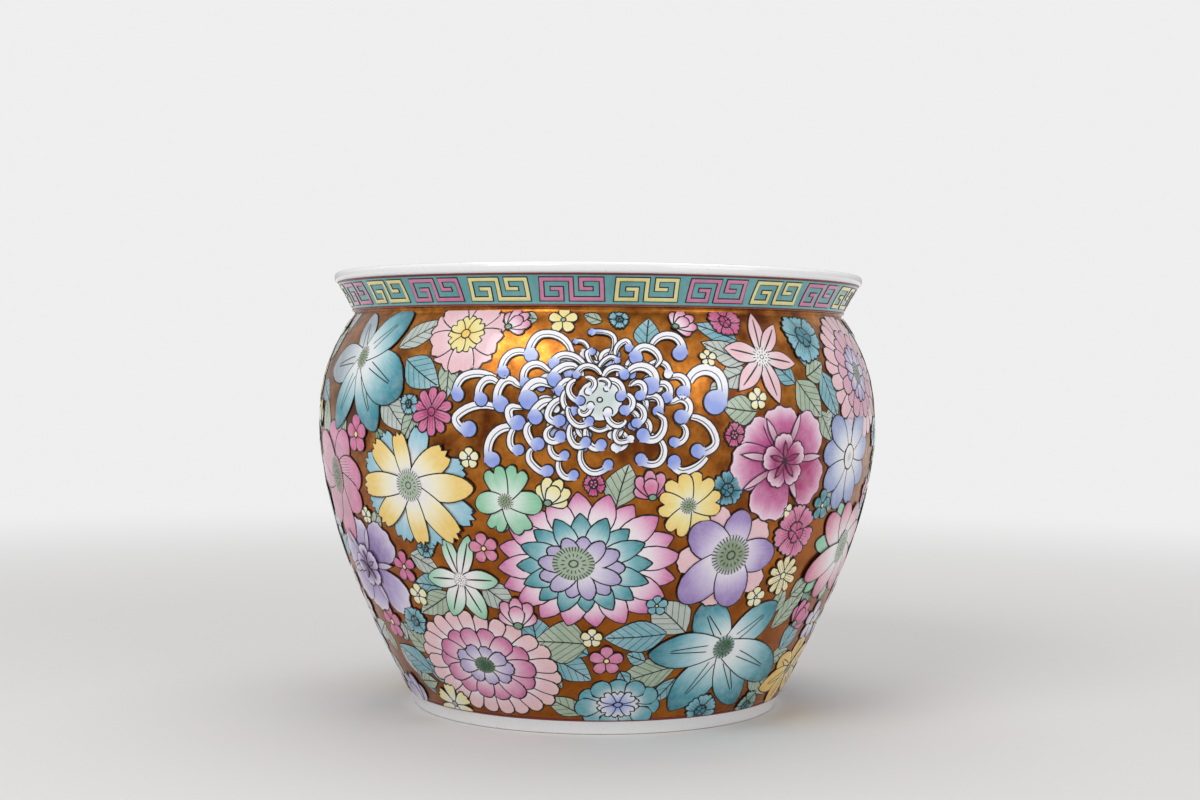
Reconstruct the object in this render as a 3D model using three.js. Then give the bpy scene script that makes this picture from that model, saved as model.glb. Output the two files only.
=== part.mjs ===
// Porcelain fishbowl jardiniere: one thrown and fired body with a rolled lip, a flared band
// under it, a neck groove, a full belly, and a low foot ring round a recessed base.
// Millimetres, +Z up. The origin is on the axis, at the level of the foot ring's resting face.

import * as THREE from 'three';

// Foot and base
const FOOT_RADIUS = 117.3;         // outside of the foot ring where it rests
const FOOT_HEIGHT = 8.2;           // plain white band above the resting face
const FOOT_FLARE = 2.6;            // how far the foot widens over its height
const FOOT_RING_WIDTH = 9;         // resting face, from outside to inside
const FOOT_EDGE = 1.2;             // small softened edges of the resting face
const BASE_RECESS = 6;             // underside of the base above the resting face
const RECESS_CORNER = 3;           // hollow where the foot ring meets the underside

// Belly and shoulder
const BELLY_RISE = 176;            // from the top of the foot to the widest level
const BELLY_SWELL = 21.5;          // widest radius beyond the neck's radius
const BELLY_FULLNESS = 55;         // how far below the widest level the side stays near upright
const FOOT_SLOPE = 0.56;           // outward run per unit of rise where the side leaves the foot
const FOOT_STRAIGHTNESS = 56;      // how far above the foot the side keeps that slope
const SHOULDER_RISE = 64.5;        // from the widest level up to the neck groove

// Neck, flared band and lip
const NECK_RADIUS = 157;           // at the bottom of the groove
const NECK_GROOVE = 2.3;           // height of the groove under the band
const BAND_STEP = 1.6;             // band's lower edge beyond the groove
const BAND_EDGE = 1.6;             // upright part of the band's lower edge
const BAND_RISE = 16.6;            // flared part of the band
const BAND_FLARE = 9.6;            // outward run of the flare
const BAND_HOLLOW = 1.2;           // pull of the flare's hollow curve
const LIP_OVERHANG = 1.8;          // lip beyond the top of the band
const LIP_UNDERSIDE = 3.3;         // height of the lip below its widest level
const LIP_CROWN = 3.0;             // height of the lip above its widest level
const LIP_WIDTH = 14;              // across the lip, outside to inside
const LIP_SHOULDER = 4.6;          // run of the lip's rounding, on each side
const LIP_DROP = 5.5;              // height of the lip's inner rounding

// Inside
const WALL = 8;                    // thickness of the side, square to the surface
const FLOOR = 11;                  // thickness of the base
const FLOOR_CORNER = 18;           // rounding where the inner wall meets the floor
const THROAT = 8;                  // how far below the neck the inner wall leaves the side

// Fineness of the turned faces
const TURN_STEPS = 72;
const CURVE_STEPS = { belly: 10, shoulder: 6, band: 3, round: 3, throat: 5, corner: 4 };

// Levels and radii that follow from the sizes above
const bellyLevel = FOOT_HEIGHT + BELLY_RISE;
const neckLevel = bellyLevel + SHOULDER_RISE;
const bandLevel = neckLevel + NECK_GROOVE + BAND_EDGE;
const lipLevel = bandLevel + BAND_RISE;
const widestLipLevel = lipLevel + LIP_UNDERSIDE;
const topLevel = widestLipLevel + LIP_CROWN;
const floorLevel = BASE_RECESS + FLOOR;
const footTopRadius = FOOT_RADIUS + FOOT_FLARE;
const bellyRadius = NECK_RADIUS + BELLY_SWELL;
const bandRadius = NECK_RADIUS + BAND_STEP;
const lipRadius = bandRadius + BAND_FLARE + LIP_OVERHANG;
const mouthRadius = lipRadius - LIP_WIDTH;

const glazeWhite = new THREE.Color(0xf1efee);
const enamelTeal = new THREE.Color(0x75a9ab);
const giltBrown = new THREE.Color(0x8a5a22);
const bareClay = new THREE.Color(0xd9cdbd);

const at = (radius, level) => new THREE.Vector2(radius, level);

const straight = (from, to) => [from, to];

const bend = (from, pull, to, steps) =>
  new THREE.QuadraticBezierCurve(from, pull, to).getPoints(steps);

const sweep = (from, pullFrom, pullTo, to, steps) =>
  new THREE.CubicBezierCurve(from, pullFrom, pullTo, to).getPoints(steps);

// The side from the top of the foot to the widest level.
function bellySide() {
  const foot = at(footTopRadius, FOOT_HEIGHT);
  const widest = at(bellyRadius, bellyLevel);
  const leavesFoot = at(
    footTopRadius + FOOT_SLOPE * FOOT_STRAIGHTNESS,
    FOOT_HEIGHT + FOOT_STRAIGHTNESS,
  );
  const nearsWidest = at(bellyRadius, bellyLevel - BELLY_FULLNESS);
  return sweep(foot, leavesFoot, nearsWidest, widest, CURVE_STEPS.belly);
}

// The shoulder is one arc, upright at the widest level, that runs through the neck groove.
function shoulderArc() {
  const arcRadius = (SHOULDER_RISE ** 2 + BELLY_SWELL ** 2) / (2 * BELLY_SWELL);
  const arcEnd = Math.asin(SHOULDER_RISE / arcRadius);
  const points = [];
  for (let step = 1; step <= CURVE_STEPS.shoulder; step += 1) {
    const turn = (arcEnd * step) / CURVE_STEPS.shoulder;
    points.push(at(
      bellyRadius - arcRadius * (1 - Math.cos(turn)),
      bellyLevel + arcRadius * Math.sin(turn),
    ));
  }
  return points;
}

// Underside of the base, then the foot ring, from the axis outwards.
function footRing() {
  const inner = FOOT_RADIUS - FOOT_RING_WIDTH;
  return [
    at(0, BASE_RECESS),
    ...bend(
      at(inner - RECESS_CORNER, BASE_RECESS),
      at(inner, BASE_RECESS),
      at(inner, BASE_RECESS - RECESS_CORNER),
      CURVE_STEPS.round,
    ),
    ...straight(at(inner, FOOT_EDGE), at(inner + FOOT_EDGE, 0)),
    ...straight(at(FOOT_RADIUS - FOOT_EDGE, 0), at(FOOT_RADIUS, FOOT_EDGE)),
  ];
}

// Neck groove, upright edge and flare of the band, up to the underside of the lip.
function flaredBand() {
  const grooveTop = neckLevel + NECK_GROOVE;
  const flareTop = at(bandRadius + BAND_FLARE, lipLevel);
  const flareMiddle = at(
    bandRadius + BAND_FLARE / 2 - BAND_HOLLOW,
    (bandLevel + lipLevel) / 2,
  );
  return [
    ...bend(
      at(NECK_RADIUS, neckLevel),
      at(NECK_RADIUS, grooveTop),
      at(bandRadius, grooveTop),
      CURVE_STEPS.round,
    ).slice(1),
    ...bend(at(bandRadius, bandLevel), flareMiddle, flareTop, CURVE_STEPS.band),
  ];
}

// The rolled lip, over the top and down to the inside of the mouth.
function rolledLip() {
  const widest = at(lipRadius, widestLipLevel);
  return [
    ...bend(
      at(lipRadius - LIP_OVERHANG, lipLevel),
      at(lipRadius, lipLevel),
      widest,
      CURVE_STEPS.round,
    ).slice(1),
    ...bend(
      widest,
      at(lipRadius, topLevel),
      at(lipRadius - LIP_SHOULDER, topLevel),
      CURVE_STEPS.round,
    ).slice(1),
    ...bend(
      at(mouthRadius + LIP_SHOULDER, topLevel),
      at(mouthRadius, topLevel),
      at(mouthRadius, topLevel - LIP_DROP),
      CURVE_STEPS.round,
    ),
  ];
}

// Moves an outline towards the inside by the wall's thickness, square to its own direction.
function insetOutline(outline, thickness) {
  return outline.map((point, index) => {
    const before = outline[Math.max(index - 1, 0)];
    const after = outline[Math.min(index + 1, outline.length - 1)];
    const along = after.clone().sub(before).normalize();
    return at(point.x - along.y * thickness, point.y + along.x * thickness);
  });
}

// The inner throat, from the lip's inner edge past the neck to the top of the inset side.
function innerThroat(wallHead, wallBelow) {
  const throatRadius = NECK_RADIUS - WALL;
  const mouthLevel = topLevel - LIP_DROP;
  const halfway = (mouthLevel + neckLevel) / 2;
  const lean = (wallHead.y - wallBelow.y) / (wallHead.x - wallBelow.x);
  const pullLevel = wallHead.y + (throatRadius - wallHead.x) * lean;
  return [
    ...sweep(
      at(mouthRadius, mouthLevel),
      at(mouthRadius, halfway),
      at(throatRadius, halfway),
      at(throatRadius, neckLevel),
      CURVE_STEPS.throat,
    ),
    ...bend(
      at(throatRadius, neckLevel),
      at(throatRadius, Math.min(pullLevel, neckLevel)),
      wallHead,
      CURVE_STEPS.round,
    ).slice(1),
  ];
}

// The rounding from the foot of the inset side into the flat floor.
function floorCorner(wallFoot, wallAbove) {
  const lean = (wallAbove.x - wallFoot.x) / (wallAbove.y - wallFoot.y);
  const cornerRadius = wallFoot.x - lean * (wallFoot.y - floorLevel);
  return bend(
    wallFoot,
    at(cornerRadius, floorLevel),
    at(cornerRadius - FLOOR_CORNER, floorLevel),
    CURVE_STEPS.corner,
  );
}

// The inner wall follows the outer one between the throat and the floor.
function innerWall(outerSide) {
  const wall = insetOutline(outerSide, WALL).filter(
    (point) => point.y > floorLevel + FLOOR_CORNER && point.y < neckLevel - THROAT,
  );
  return [
    ...innerThroat(wall.at(-1), wall.at(-2)).slice(1),
    ...wall.slice(1, -1).reverse(),
    ...floorCorner(wall[0], wall[1]),
  ];
}

function potOutline() {
  const outerSide = [...bellySide(), ...shoulderArc()];
  return [
    ...footRing(),
    ...outerSide,
    ...flaredBand(),
    ...rolledLip(),
    ...innerWall(outerSide),
    at(0, floorLevel),
  ];
}

// The coat's colour at a point of the outline: bare clay under the foot ring, gilding on the
// side, teal enamel on the band and white glaze on the foot, the lip and all of the inside.
function coatColour(point, isOutside) {
  if (point.y <= FOOT_EDGE / 2) return bareClay;
  if (!isOutside || point.y <= FOOT_HEIGHT || point.y > lipLevel) return glazeWhite;
  return point.y > neckLevel + NECK_GROOVE ? enamelTeal : giltBrown;
}

function turnedBody() {
  const outline = potOutline();
  const topIndex = outline.findIndex((point) => point.y === topLevel);
  const geometry = new THREE.LatheGeometry(outline, TURN_STEPS);
  const colours = new Float32Array((TURN_STEPS + 1) * outline.length * 3);
  for (let row = 0; row <= TURN_STEPS; row += 1) {
    outline.forEach((point, index) => {
      const colour = coatColour(point, index < topIndex);
      colour.toArray(colours, (row * outline.length + index) * 3);
    });
  }
  geometry.setAttribute('color', new THREE.BufferAttribute(colours, 3));
  geometry.rotateX(Math.PI / 2);
  return geometry;
}

const glazedPorcelain = new THREE.MeshStandardMaterial({
  name: 'glazed_porcelain',
  color: 0xffffff,
  vertexColors: true,
  roughness: 0.12,
  metalness: 0,
});

const body = new THREE.Mesh(turnedBody(), glazedPorcelain);
body.name = 'porcelain_jardiniere';

const group = new THREE.Group();
group.add(body);

export default group;
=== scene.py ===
"""Porcelain fishbowl jardiniere: a turned and glazed body, a gilt belly covered with raised enamel
flowers, a flared band with a key border, a plain rolled lip and a plain foot."""

import math
import random

import bmesh
import bpy
import numpy as np
from mathutils import Matrix, Vector


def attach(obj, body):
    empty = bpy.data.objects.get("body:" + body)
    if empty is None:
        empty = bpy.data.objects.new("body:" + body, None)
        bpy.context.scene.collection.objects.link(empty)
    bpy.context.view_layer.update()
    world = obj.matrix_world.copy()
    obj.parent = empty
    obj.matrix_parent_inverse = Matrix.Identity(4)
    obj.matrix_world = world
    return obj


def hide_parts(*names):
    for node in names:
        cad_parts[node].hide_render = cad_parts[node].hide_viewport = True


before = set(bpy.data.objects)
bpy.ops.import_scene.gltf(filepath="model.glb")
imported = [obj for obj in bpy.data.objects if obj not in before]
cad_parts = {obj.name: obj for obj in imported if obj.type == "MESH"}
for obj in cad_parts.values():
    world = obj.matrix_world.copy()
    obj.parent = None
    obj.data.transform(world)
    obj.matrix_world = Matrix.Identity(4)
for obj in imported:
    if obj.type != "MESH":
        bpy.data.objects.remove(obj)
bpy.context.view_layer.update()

MM = 0.001

# ------------------------------------------------
# Sizes of the body, in millimetres
# ------------------------------------------------

FOOT_RADIUS = 117.3          # outside of the foot ring where it rests
FOOT_HEIGHT = 8.2            # plain white band above the resting face
FOOT_FLARE = 2.6             # how far the foot widens over its height
FOOT_RING_WIDTH = 9          # resting face, from outside to inside
FOOT_EDGE = 1.2              # softened edges of the resting face
BASE_RECESS = 6              # underside of the base above the resting face
RECESS_CORNER = 3            # hollow where the foot ring meets the underside
BELLY_RISE = 176             # from the top of the foot to the widest level
BELLY_SWELL = 21.5           # widest radius beyond the neck's radius
BELLY_FULLNESS = 55          # how far below the widest level the side stays near upright
FOOT_SLOPE = 0.56            # outward run per unit of rise where the side leaves the foot
FOOT_STRAIGHTNESS = 56       # how far above the foot the side keeps that slope
SHOULDER_RISE = 64.5         # from the widest level up to the neck groove
NECK_RADIUS = 157            # at the bottom of the groove
NECK_GROOVE = 2.3            # height of the groove under the band
BAND_STEP = 1.6              # the band's lower edge beyond the groove
BAND_EDGE = 1.6              # upright part of the band's lower edge
BAND_RISE = 16.6             # flared part of the band
BAND_FLARE = 9.6             # outward run of the flare
BAND_HOLLOW = 1.2            # pull of the flare's hollow curve
LIP_OVERHANG = 1.8           # lip beyond the top of the band
LIP_UNDERSIDE = 3.3          # height of the lip below its widest level
LIP_CROWN = 3.0              # height of the lip above its widest level
LIP_WIDTH = 14               # across the lip, outside to inside
LIP_SHOULDER = 4.6           # run of the lip's rounding, on each side
LIP_DROP = 5.5               # height of the lip's inner rounding
WALL = 8                     # thickness of the side
FLOOR = 11                   # thickness of the base
FLOOR_CORNER = 18            # rounding where the inner wall meets the floor
THROAT = 8                   # how far below the neck the inner wall leaves the side

belly_level = FOOT_HEIGHT + BELLY_RISE
neck_level = belly_level + SHOULDER_RISE
groove_top = neck_level + NECK_GROOVE
band_level = groove_top + BAND_EDGE
lip_level = band_level + BAND_RISE
widest_lip_level = lip_level + LIP_UNDERSIDE
top_level = widest_lip_level + LIP_CROWN
floor_level = BASE_RECESS + FLOOR
foot_top_radius = FOOT_RADIUS + FOOT_FLARE
belly_radius = NECK_RADIUS + BELLY_SWELL
band_radius = NECK_RADIUS + BAND_STEP
lip_radius = band_radius + BAND_FLARE + LIP_OVERHANG
mouth_radius = lip_radius - LIP_WIDTH

TURN_STEPS = 240             # flats round the turned body and its coats
BELLY_STEPS = 60
SHOULDER_STEPS = 30
GROOVE_STEPS = 6
FLARE_STEPS = 14
ROUND_STEPS = 8              # each rounding of the lip, and the one below the throat
THROAT_STEPS = 14
CORNER_STEPS = 12            # from the inner wall into the floor
RECESS_STEPS = 6
EDGE_STEPS = 4

# Coats over the glaze
GILDING_LIFT = 0.05          # gilt ground over the body
BORDER_LIFT = 0.06           # teal ground of the key border over the body
LINE_LIFT = 0.12             # red lines at the neck and the foot over the body
FOOT_GAP = 1.0               # from the top of the foot up to the lowest enamel
NECK_GAP = 0.3               # from the highest enamel up to the neck groove
ENAMEL_LIFT = 0.16           # lowest enamel over the body
COAT_ROOT = 0.3              # how deep a coat's hidden side lies in the body
LAYER = 0.10                 # one petal over the next
CROWN = 0.08                 # swell of a petal between its borders
OUTLINE = 0.76               # width of the dark outlines


def linear(colour):
    """A colour as seen on a screen, as the linear numbers that shaders take."""
    return [c / 12.92 if c <= 0.04045 else ((c + 0.055) / 1.055) ** 2.4 for c in colour]


# Colours of the coats, as seen
GLAZE = (0.925, 0.920, 0.925)
CLAY = (0.80, 0.74, 0.66)
INK = (0.02, 0.02, 0.035)
IRON_RED = (0.52, 0.11, 0.12)
BORDER_TEAL = (0.44, 0.68, 0.69)
KEY_PINK = (0.84, 0.53, 0.67)
KEY_YELLOW = (0.93, 0.89, 0.64)
WHITE = (0.95, 0.94, 0.94)
TEAL = (0.20, 0.53, 0.60)
TEAL_MILKY = (0.47, 0.71, 0.75)
SKY = (0.55, 0.76, 0.83)
SMOKE = (0.62, 0.68, 0.72)
BLUSH = (0.93, 0.78, 0.81)
PINK = (0.84, 0.45, 0.63)
ROSE = (0.78, 0.28, 0.52)
MAGENTA = (0.70, 0.17, 0.45)
YELLOW = (0.95, 0.81, 0.43)
PALE_YELLOW = (0.95, 0.90, 0.62)
CREAM = (0.94, 0.93, 0.78)
MINT = (0.50, 0.78, 0.63)
VIOLET = (0.56, 0.45, 0.71)
LAVENDER = (0.70, 0.63, 0.83)
PERIWINKLE = (0.58, 0.65, 0.90)
SAGE = (0.67, 0.74, 0.65)
GREY_LEAF = (0.74, 0.78, 0.75)
TEAL_LEAF = (0.50, 0.71, 0.75)
DEEP_LEAF = (0.48, 0.65, 0.52)
STAMEN = (0.55, 0.62, 0.50)
DEEP_STAMEN = (0.22, 0.42, 0.30)
OLIVE = (0.50, 0.51, 0.42)


# ------------------------------------------------
# The turned outline
# ------------------------------------------------

def bend(start, pull, end, steps):
    """A quadratic curve from start to end."""
    share = np.linspace(0, 1, steps + 1)[:, None]
    start, pull, end = (np.array(p, float) for p in (start, pull, end))
    return (1 - share) ** 2 * start + 2 * share * (1 - share) * pull + share ** 2 * end


def sweep(start, pull_start, pull_end, end, steps):
    """A cubic curve from start to end."""
    share = np.linspace(0, 1, steps + 1)[:, None]
    start, pull_start, pull_end, end = (
        np.array(p, float) for p in (start, pull_start, pull_end, end)
    )
    return (
        (1 - share) ** 3 * start
        + 3 * (1 - share) ** 2 * share * pull_start
        + 3 * (1 - share) * share ** 2 * pull_end
        + share ** 3 * end
    )


def belly_side():
    """The side from the top of the foot to the widest level."""
    return sweep(
        (foot_top_radius, FOOT_HEIGHT),
        (foot_top_radius + FOOT_SLOPE * FOOT_STRAIGHTNESS, FOOT_HEIGHT + FOOT_STRAIGHTNESS),
        (belly_radius, belly_level - BELLY_FULLNESS),
        (belly_radius, belly_level),
        BELLY_STEPS,
    )


def shoulder_arc():
    """One arc, upright at the widest level, that runs into the neck groove."""
    arc_radius = (SHOULDER_RISE ** 2 + BELLY_SWELL ** 2) / (2 * BELLY_SWELL)
    turn = np.linspace(0, math.asin(SHOULDER_RISE / arc_radius), SHOULDER_STEPS + 1)[1:]
    radius = belly_radius - arc_radius * (1 - np.cos(turn))
    return np.stack([radius, belly_level + arc_radius * np.sin(turn)], 1)


def foot_ring():
    """Underside of the base, then the foot ring, from the axis outwards."""
    inner = FOOT_RADIUS - FOOT_RING_WIDTH
    hollow = bend(
        (inner - RECESS_CORNER, BASE_RECESS),
        (inner, BASE_RECESS),
        (inner, BASE_RECESS - RECESS_CORNER),
        RECESS_STEPS,
    )
    inner_edge = bend((inner, FOOT_EDGE), (inner, 0), (inner + FOOT_EDGE, 0), EDGE_STEPS)
    outer_edge = bend(
        (FOOT_RADIUS - FOOT_EDGE, 0), (FOOT_RADIUS, 0), (FOOT_RADIUS, FOOT_EDGE), EDGE_STEPS
    )
    return np.vstack([[(0, BASE_RECESS)], hollow, inner_edge, outer_edge])


def flared_band():
    """Neck groove, upright edge and flare of the band, up to the underside of the lip."""
    groove = bend(
        (NECK_RADIUS, neck_level),
        (NECK_RADIUS, groove_top),
        (band_radius, groove_top),
        GROOVE_STEPS,
    )[1:]
    edge = bend(
        (band_radius, groove_top + 0.4), (band_radius, band_level), (band_radius, band_level), 2
    )
    flare = bend(
        (band_radius, band_level),
        (band_radius + BAND_FLARE / 2 - BAND_HOLLOW, (band_level + lip_level) / 2),
        (band_radius + BAND_FLARE, lip_level),
        FLARE_STEPS,
    )
    return np.vstack([groove, edge[:2], flare])


def rolled_lip():
    """The rolled lip, over the top and down to the inside of the mouth."""
    under = bend(
        (lip_radius - LIP_OVERHANG, lip_level),
        (lip_radius, lip_level),
        (lip_radius, widest_lip_level),
        ROUND_STEPS,
    )[1:]
    over = bend(
        (lip_radius, widest_lip_level),
        (lip_radius, top_level),
        (lip_radius - LIP_SHOULDER, top_level),
        ROUND_STEPS,
    )[1:]
    inside = bend(
        (mouth_radius + LIP_SHOULDER, top_level),
        (mouth_radius, top_level),
        (mouth_radius, top_level - LIP_DROP),
        ROUND_STEPS,
    )
    return np.vstack([under, over, inside])


def inner_wall(outer_side):
    """The inside, from the mouth past the throat and down the wall to the floor."""
    along = np.gradient(outer_side, axis=0)
    along /= np.linalg.norm(along, axis=1)[:, None]
    inset = outer_side + WALL * np.stack([-along[:, 1], along[:, 0]], 1)
    kept = inset[
        (inset[:, 1] > floor_level + FLOOR_CORNER) & (inset[:, 1] < neck_level - THROAT)
    ]
    throat_radius = NECK_RADIUS - WALL
    mouth_level = top_level - LIP_DROP
    halfway = (mouth_level + neck_level) / 2
    throat = sweep(
        (mouth_radius, mouth_level),
        (mouth_radius, halfway),
        (throat_radius, halfway),
        (throat_radius, neck_level),
        THROAT_STEPS,
    )
    lean = (kept[-1][1] - kept[-2][1]) / (kept[-1][0] - kept[-2][0])
    pull_level = kept[-1][1] + (throat_radius - kept[-1][0]) * lean
    below_throat = bend(
        (throat_radius, neck_level),
        (throat_radius, min(pull_level, neck_level)),
        kept[-1],
        ROUND_STEPS,
    )
    lean = (kept[1][0] - kept[0][0]) / (kept[1][1] - kept[0][1])
    corner_radius = kept[0][0] - lean * (kept[0][1] - floor_level)
    corner = bend(
        kept[0],
        (corner_radius, floor_level),
        (corner_radius - FLOOR_CORNER, floor_level),
        CORNER_STEPS,
    )
    return np.vstack(
        [throat[1:], below_throat[1:], kept[1:-1][::-1], corner, [(0, floor_level)]]
    )


outer_side = np.vstack([belly_side(), shoulder_arc()])
band_outline = flared_band()
flare_outline = band_outline[-(FLARE_STEPS + 1):]
pot_outline = np.vstack(
    [foot_ring(), outer_side, band_outline, rolled_lip(), inner_wall(outer_side)]
)


RUN_ON = 60                  # how far a surface runs on straight past its two ends


class Surface:
    """A stretch of the turned outside, on which patterns are laid out in millimetres along it."""

    def __init__(self, outline):
        before = outline[0] - outline[1]
        after = outline[-1] - outline[-2]
        first = outline[0] + before / np.linalg.norm(before) * RUN_ON
        last = outline[-1] + after / np.linalg.norm(after) * RUN_ON
        points = np.vstack([[first], outline, [last]])
        self.radius = points[:, 0]
        self.level = points[:, 1]
        steps = np.hypot(*np.diff(points, axis=0).T)
        self.run = np.concatenate([[0], np.cumsum(steps)])
        along = np.gradient(points, self.run, axis=0)
        length = np.hypot(along[:, 0], along[:, 1])
        self.out = along[:, 1] / length
        self.rise = -along[:, 0] / length

    def place(self, azimuth, level, right, up, lift):
        """The point that lies right and up of the place at that azimuth and level."""
        run = np.interp(level, self.level, self.run) + up
        radius = np.interp(run, self.run, self.radius)
        turn = math.radians(azimuth) + right / radius
        radius += np.interp(run, self.run, self.out) * lift
        height = np.interp(run, self.run, self.level)
        height += np.interp(run, self.run, self.rise) * lift
        return Vector((radius * math.sin(turn), -radius * math.cos(turn), height)) * MM


side = Surface(outer_side)
band = Surface(flare_outline)


# ------------------------------------------------
# Finishes
# ------------------------------------------------

class Amount:
    """A number that a node gives, on which arithmetic adds Math nodes."""

    def __init__(self, finish, socket):
        self.finish = finish
        self.socket = socket

    def maths(self, operation, *values, clamp=False):
        made = self.finish.node(
            "ShaderNodeMath", {"operation": operation, "use_clamp": clamp}, dict(enumerate(values))
        )
        return Amount(self.finish, made.outputs[0])

    def __add__(self, other):
        return self.maths("ADD", self, other)

    def __radd__(self, other):
        return self.maths("ADD", other, self)

    def __sub__(self, other):
        return self.maths("SUBTRACT", self, other)

    def __rsub__(self, other):
        return self.maths("SUBTRACT", other, self)

    def __mul__(self, other):
        return self.maths("MULTIPLY", self, other)

    def __rmul__(self, other):
        return self.maths("MULTIPLY", other, self)

    def __truediv__(self, other):
        return self.maths("DIVIDE", self, other)

    def __abs__(self):
        return self.maths("ABSOLUTE", self)

    def __mod__(self, other):
        return self.maths("FLOORED_MODULO", self, other)

    def below(self, limit, blur):
        """1 where the number is below the limit, fading to 0 over the blur."""
        if isinstance(limit, Amount):
            return self.maths("MULTIPLY_ADD", limit - self, 1 / blur, 0.5, clamp=True)
        return self.maths("MULTIPLY_ADD", self, -1 / blur, (limit + blur / 2) / blur, clamp=True)

    def power(self, exponent):
        return self.maths("POWER", self, exponent)

    def sine(self):
        return self.maths("SINE", self)

    def most(self, other):
        return self.maths("MAXIMUM", self, other)


class Finish:
    """One material, built node by node round its own shader."""

    def __init__(self, name, **uniform):
        self.material = bpy.data.materials.new(name)
        self.material.use_nodes = True
        self.tree = self.material.node_tree
        self.shader = self.tree.nodes["Principled BSDF"]
        for socket, value in uniform.items():
            self.shader.inputs[socket.replace("_", " ")].default_value = value

    def node(self, kind, settings=None, values=None):
        """Adds a node, with its settings first and then its sockets' values or links."""
        made = self.tree.nodes.new(kind)
        for key, value in (settings or {}).items():
            setattr(made, key, value)
        for key, value in (values or {}).items():
            self.feed(made.inputs[key], value)
        return made

    def feed(self, socket, value):
        if isinstance(value, Amount):
            value = value.socket
        if isinstance(value, bpy.types.NodeSocket):
            self.tree.links.new(value, socket)
        else:
            socket.default_value = value

    def amount(self, kind, settings=None, values=None):
        return Amount(self, self.node(kind, settings, values).outputs[0])

    def attribute(self, name):
        return self.node("ShaderNodeAttribute", {"attribute_name": name})

    def parts(self, vector):
        made = self.node("ShaderNodeSeparateXYZ", None, {0: vector})
        return [Amount(self, output) for output in made.outputs]

    def mixed(self, share, first, second, blend="MIX"):
        """Two colours mixed by a share."""
        made = self.node(
            "ShaderNodeMix",
            {"data_type": "RGBA", "blend_type": blend},
            {"Factor": share, 6: first, 7: second},
        )
        return made.outputs[2]

    def noise(self, scale, detail=2.0, roughness=0.5, vector=None, stretch=None):
        if vector is None:
            vector = self.node("ShaderNodeTexCoord").outputs["Object"]
        if stretch is not None:
            vector = self.node(
                "ShaderNodeMapping", {"vector_type": "POINT"}, {"Vector": vector, "Scale": stretch}
            ).outputs[0]
        return self.amount(
            "ShaderNodeTexNoise",
            None,
            {"Vector": vector, "Scale": scale, "Detail": detail, "Roughness": roughness},
        )

    def colour(self, socket):
        self.feed(self.shader.inputs["Base Color"], socket)

    def bump(self, height, depth, strength=1.0):
        made = self.node(
            "ShaderNodeBump", None, {"Height": height, "Distance": depth * MM, "Strength": strength}
        )
        self.feed(self.shader.inputs["Normal"], made.outputs[0])


def rgba(colour):
    return (*linear(colour), 1.0)


def porcelain_finish():
    """Clear gloss glaze over white porcelain, and bare clay where the foot ring rests."""
    made = Finish("glazed_white_porcelain", IOR=1.5)
    place = made.node("ShaderNodeTexCoord").outputs["Object"]
    level = made.parts(place)[2]
    cloud = made.noise(9, 3, 0.55)
    pooled = made.mixed(cloud.below(0.42, 0.3) * 0.5, rgba(GLAZE), rgba((0.885, 0.895, 0.90)))
    speck = made.noise(900, 1, 0.4).below(0.27, 0.02)
    glazed = made.mixed(speck * 0.35, pooled, rgba((0.66, 0.60, 0.52)))
    bare = level.below(0.35 * MM, 0.25 * MM)
    grain = made.noise(1500, 2, 0.6)
    clay = made.mixed(grain, rgba(CLAY), rgba((0.69, 0.62, 0.53)))
    made.colour(made.mixed(bare, glazed, clay))
    made.feed(made.shader.inputs["Roughness"], bare * 0.7 + 0.10)
    made.feed(made.shader.inputs["Coat Weight"], 0.5 - bare * 0.5)
    made.bump(made.noise(55, 2, 0.5), 0.05, 0.2)
    return made.material


def gilding_finish():
    """Burnished gilding with fine burnishing marks, and painted reflections: dark brown clouds that stand
    for a dark surround, fainter low down, where the gold turns a deeper orange brown.
    """
    made = Finish("burnished_gilding")
    cloud = made.noise(22, 4, 0.6)
    blotch = made.noise(75, 3, 0.65)
    # Dark brown clouds: painted reflection of a dark surround. The same clouds also make the gilding a
    # little rougher.
    dark_reflection_share = (cloud * 0.6 + blotch * 0.4).below(0.5, 0.22)
    gold = made.mixed(blotch.below(0.55, 0.35), rgba((0.78, 0.50, 0.20)), rgba((0.66, 0.40, 0.13)))
    level = made.parts(made.node("ShaderNodeTexCoord").outputs["Object"])[2]
    # Painted reflection by height: towards the bottom, below about 150 mm, the gold turns a deeper orange
    # brown and the dark clouds fade.
    low = level.below(150 * MM, 60 * MM)
    gold_with_low_reflection = made.mixed(low * 0.7, gold, rgba((0.67, 0.37, 0.11)))
    made.colour(made.mixed(dark_reflection_share * (0.9 - low * 0.35), gold_with_low_reflection, rgba((0.34, 0.14, 0.06))))
    made.shader.inputs["Metallic"].default_value = 0.92
    made.feed(made.shader.inputs["Roughness"], dark_reflection_share * 0.10 + cloud * 0.12 + 0.17)
    made.bump(blotch + made.noise(420, 2, 0.6) * 0.5, 0.05, 0.6)
    return made.material


def ground_finish(name, colour, deep):
    """A flat opaque enamel ground with brushed patches."""
    made = Finish(name, Roughness=0.2, Coat_Weight=0.3)
    patch = made.noise(38, 3, 0.6)
    brush = made.noise(260, 2, 0.6, stretch=(1, 1, 0.35))
    share = (patch * 0.7 + brush * 0.3).below(0.52, 0.3)
    made.colour(made.mixed(share, rgba(colour), rgba(deep)))
    made.bump(brush, 0.05, 0.5)
    return made.material


def plain_finish(name, colour, roughness):
    made = Finish(name)
    grain = made.noise(700, 2, 0.5)
    darker = [c * 0.82 for c in colour]
    made.colour(made.mixed(grain, rgba(colour), rgba(darker)))
    made.feed(made.shader.inputs["Roughness"], grain * 0.08 + roughness)
    return made.material


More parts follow.
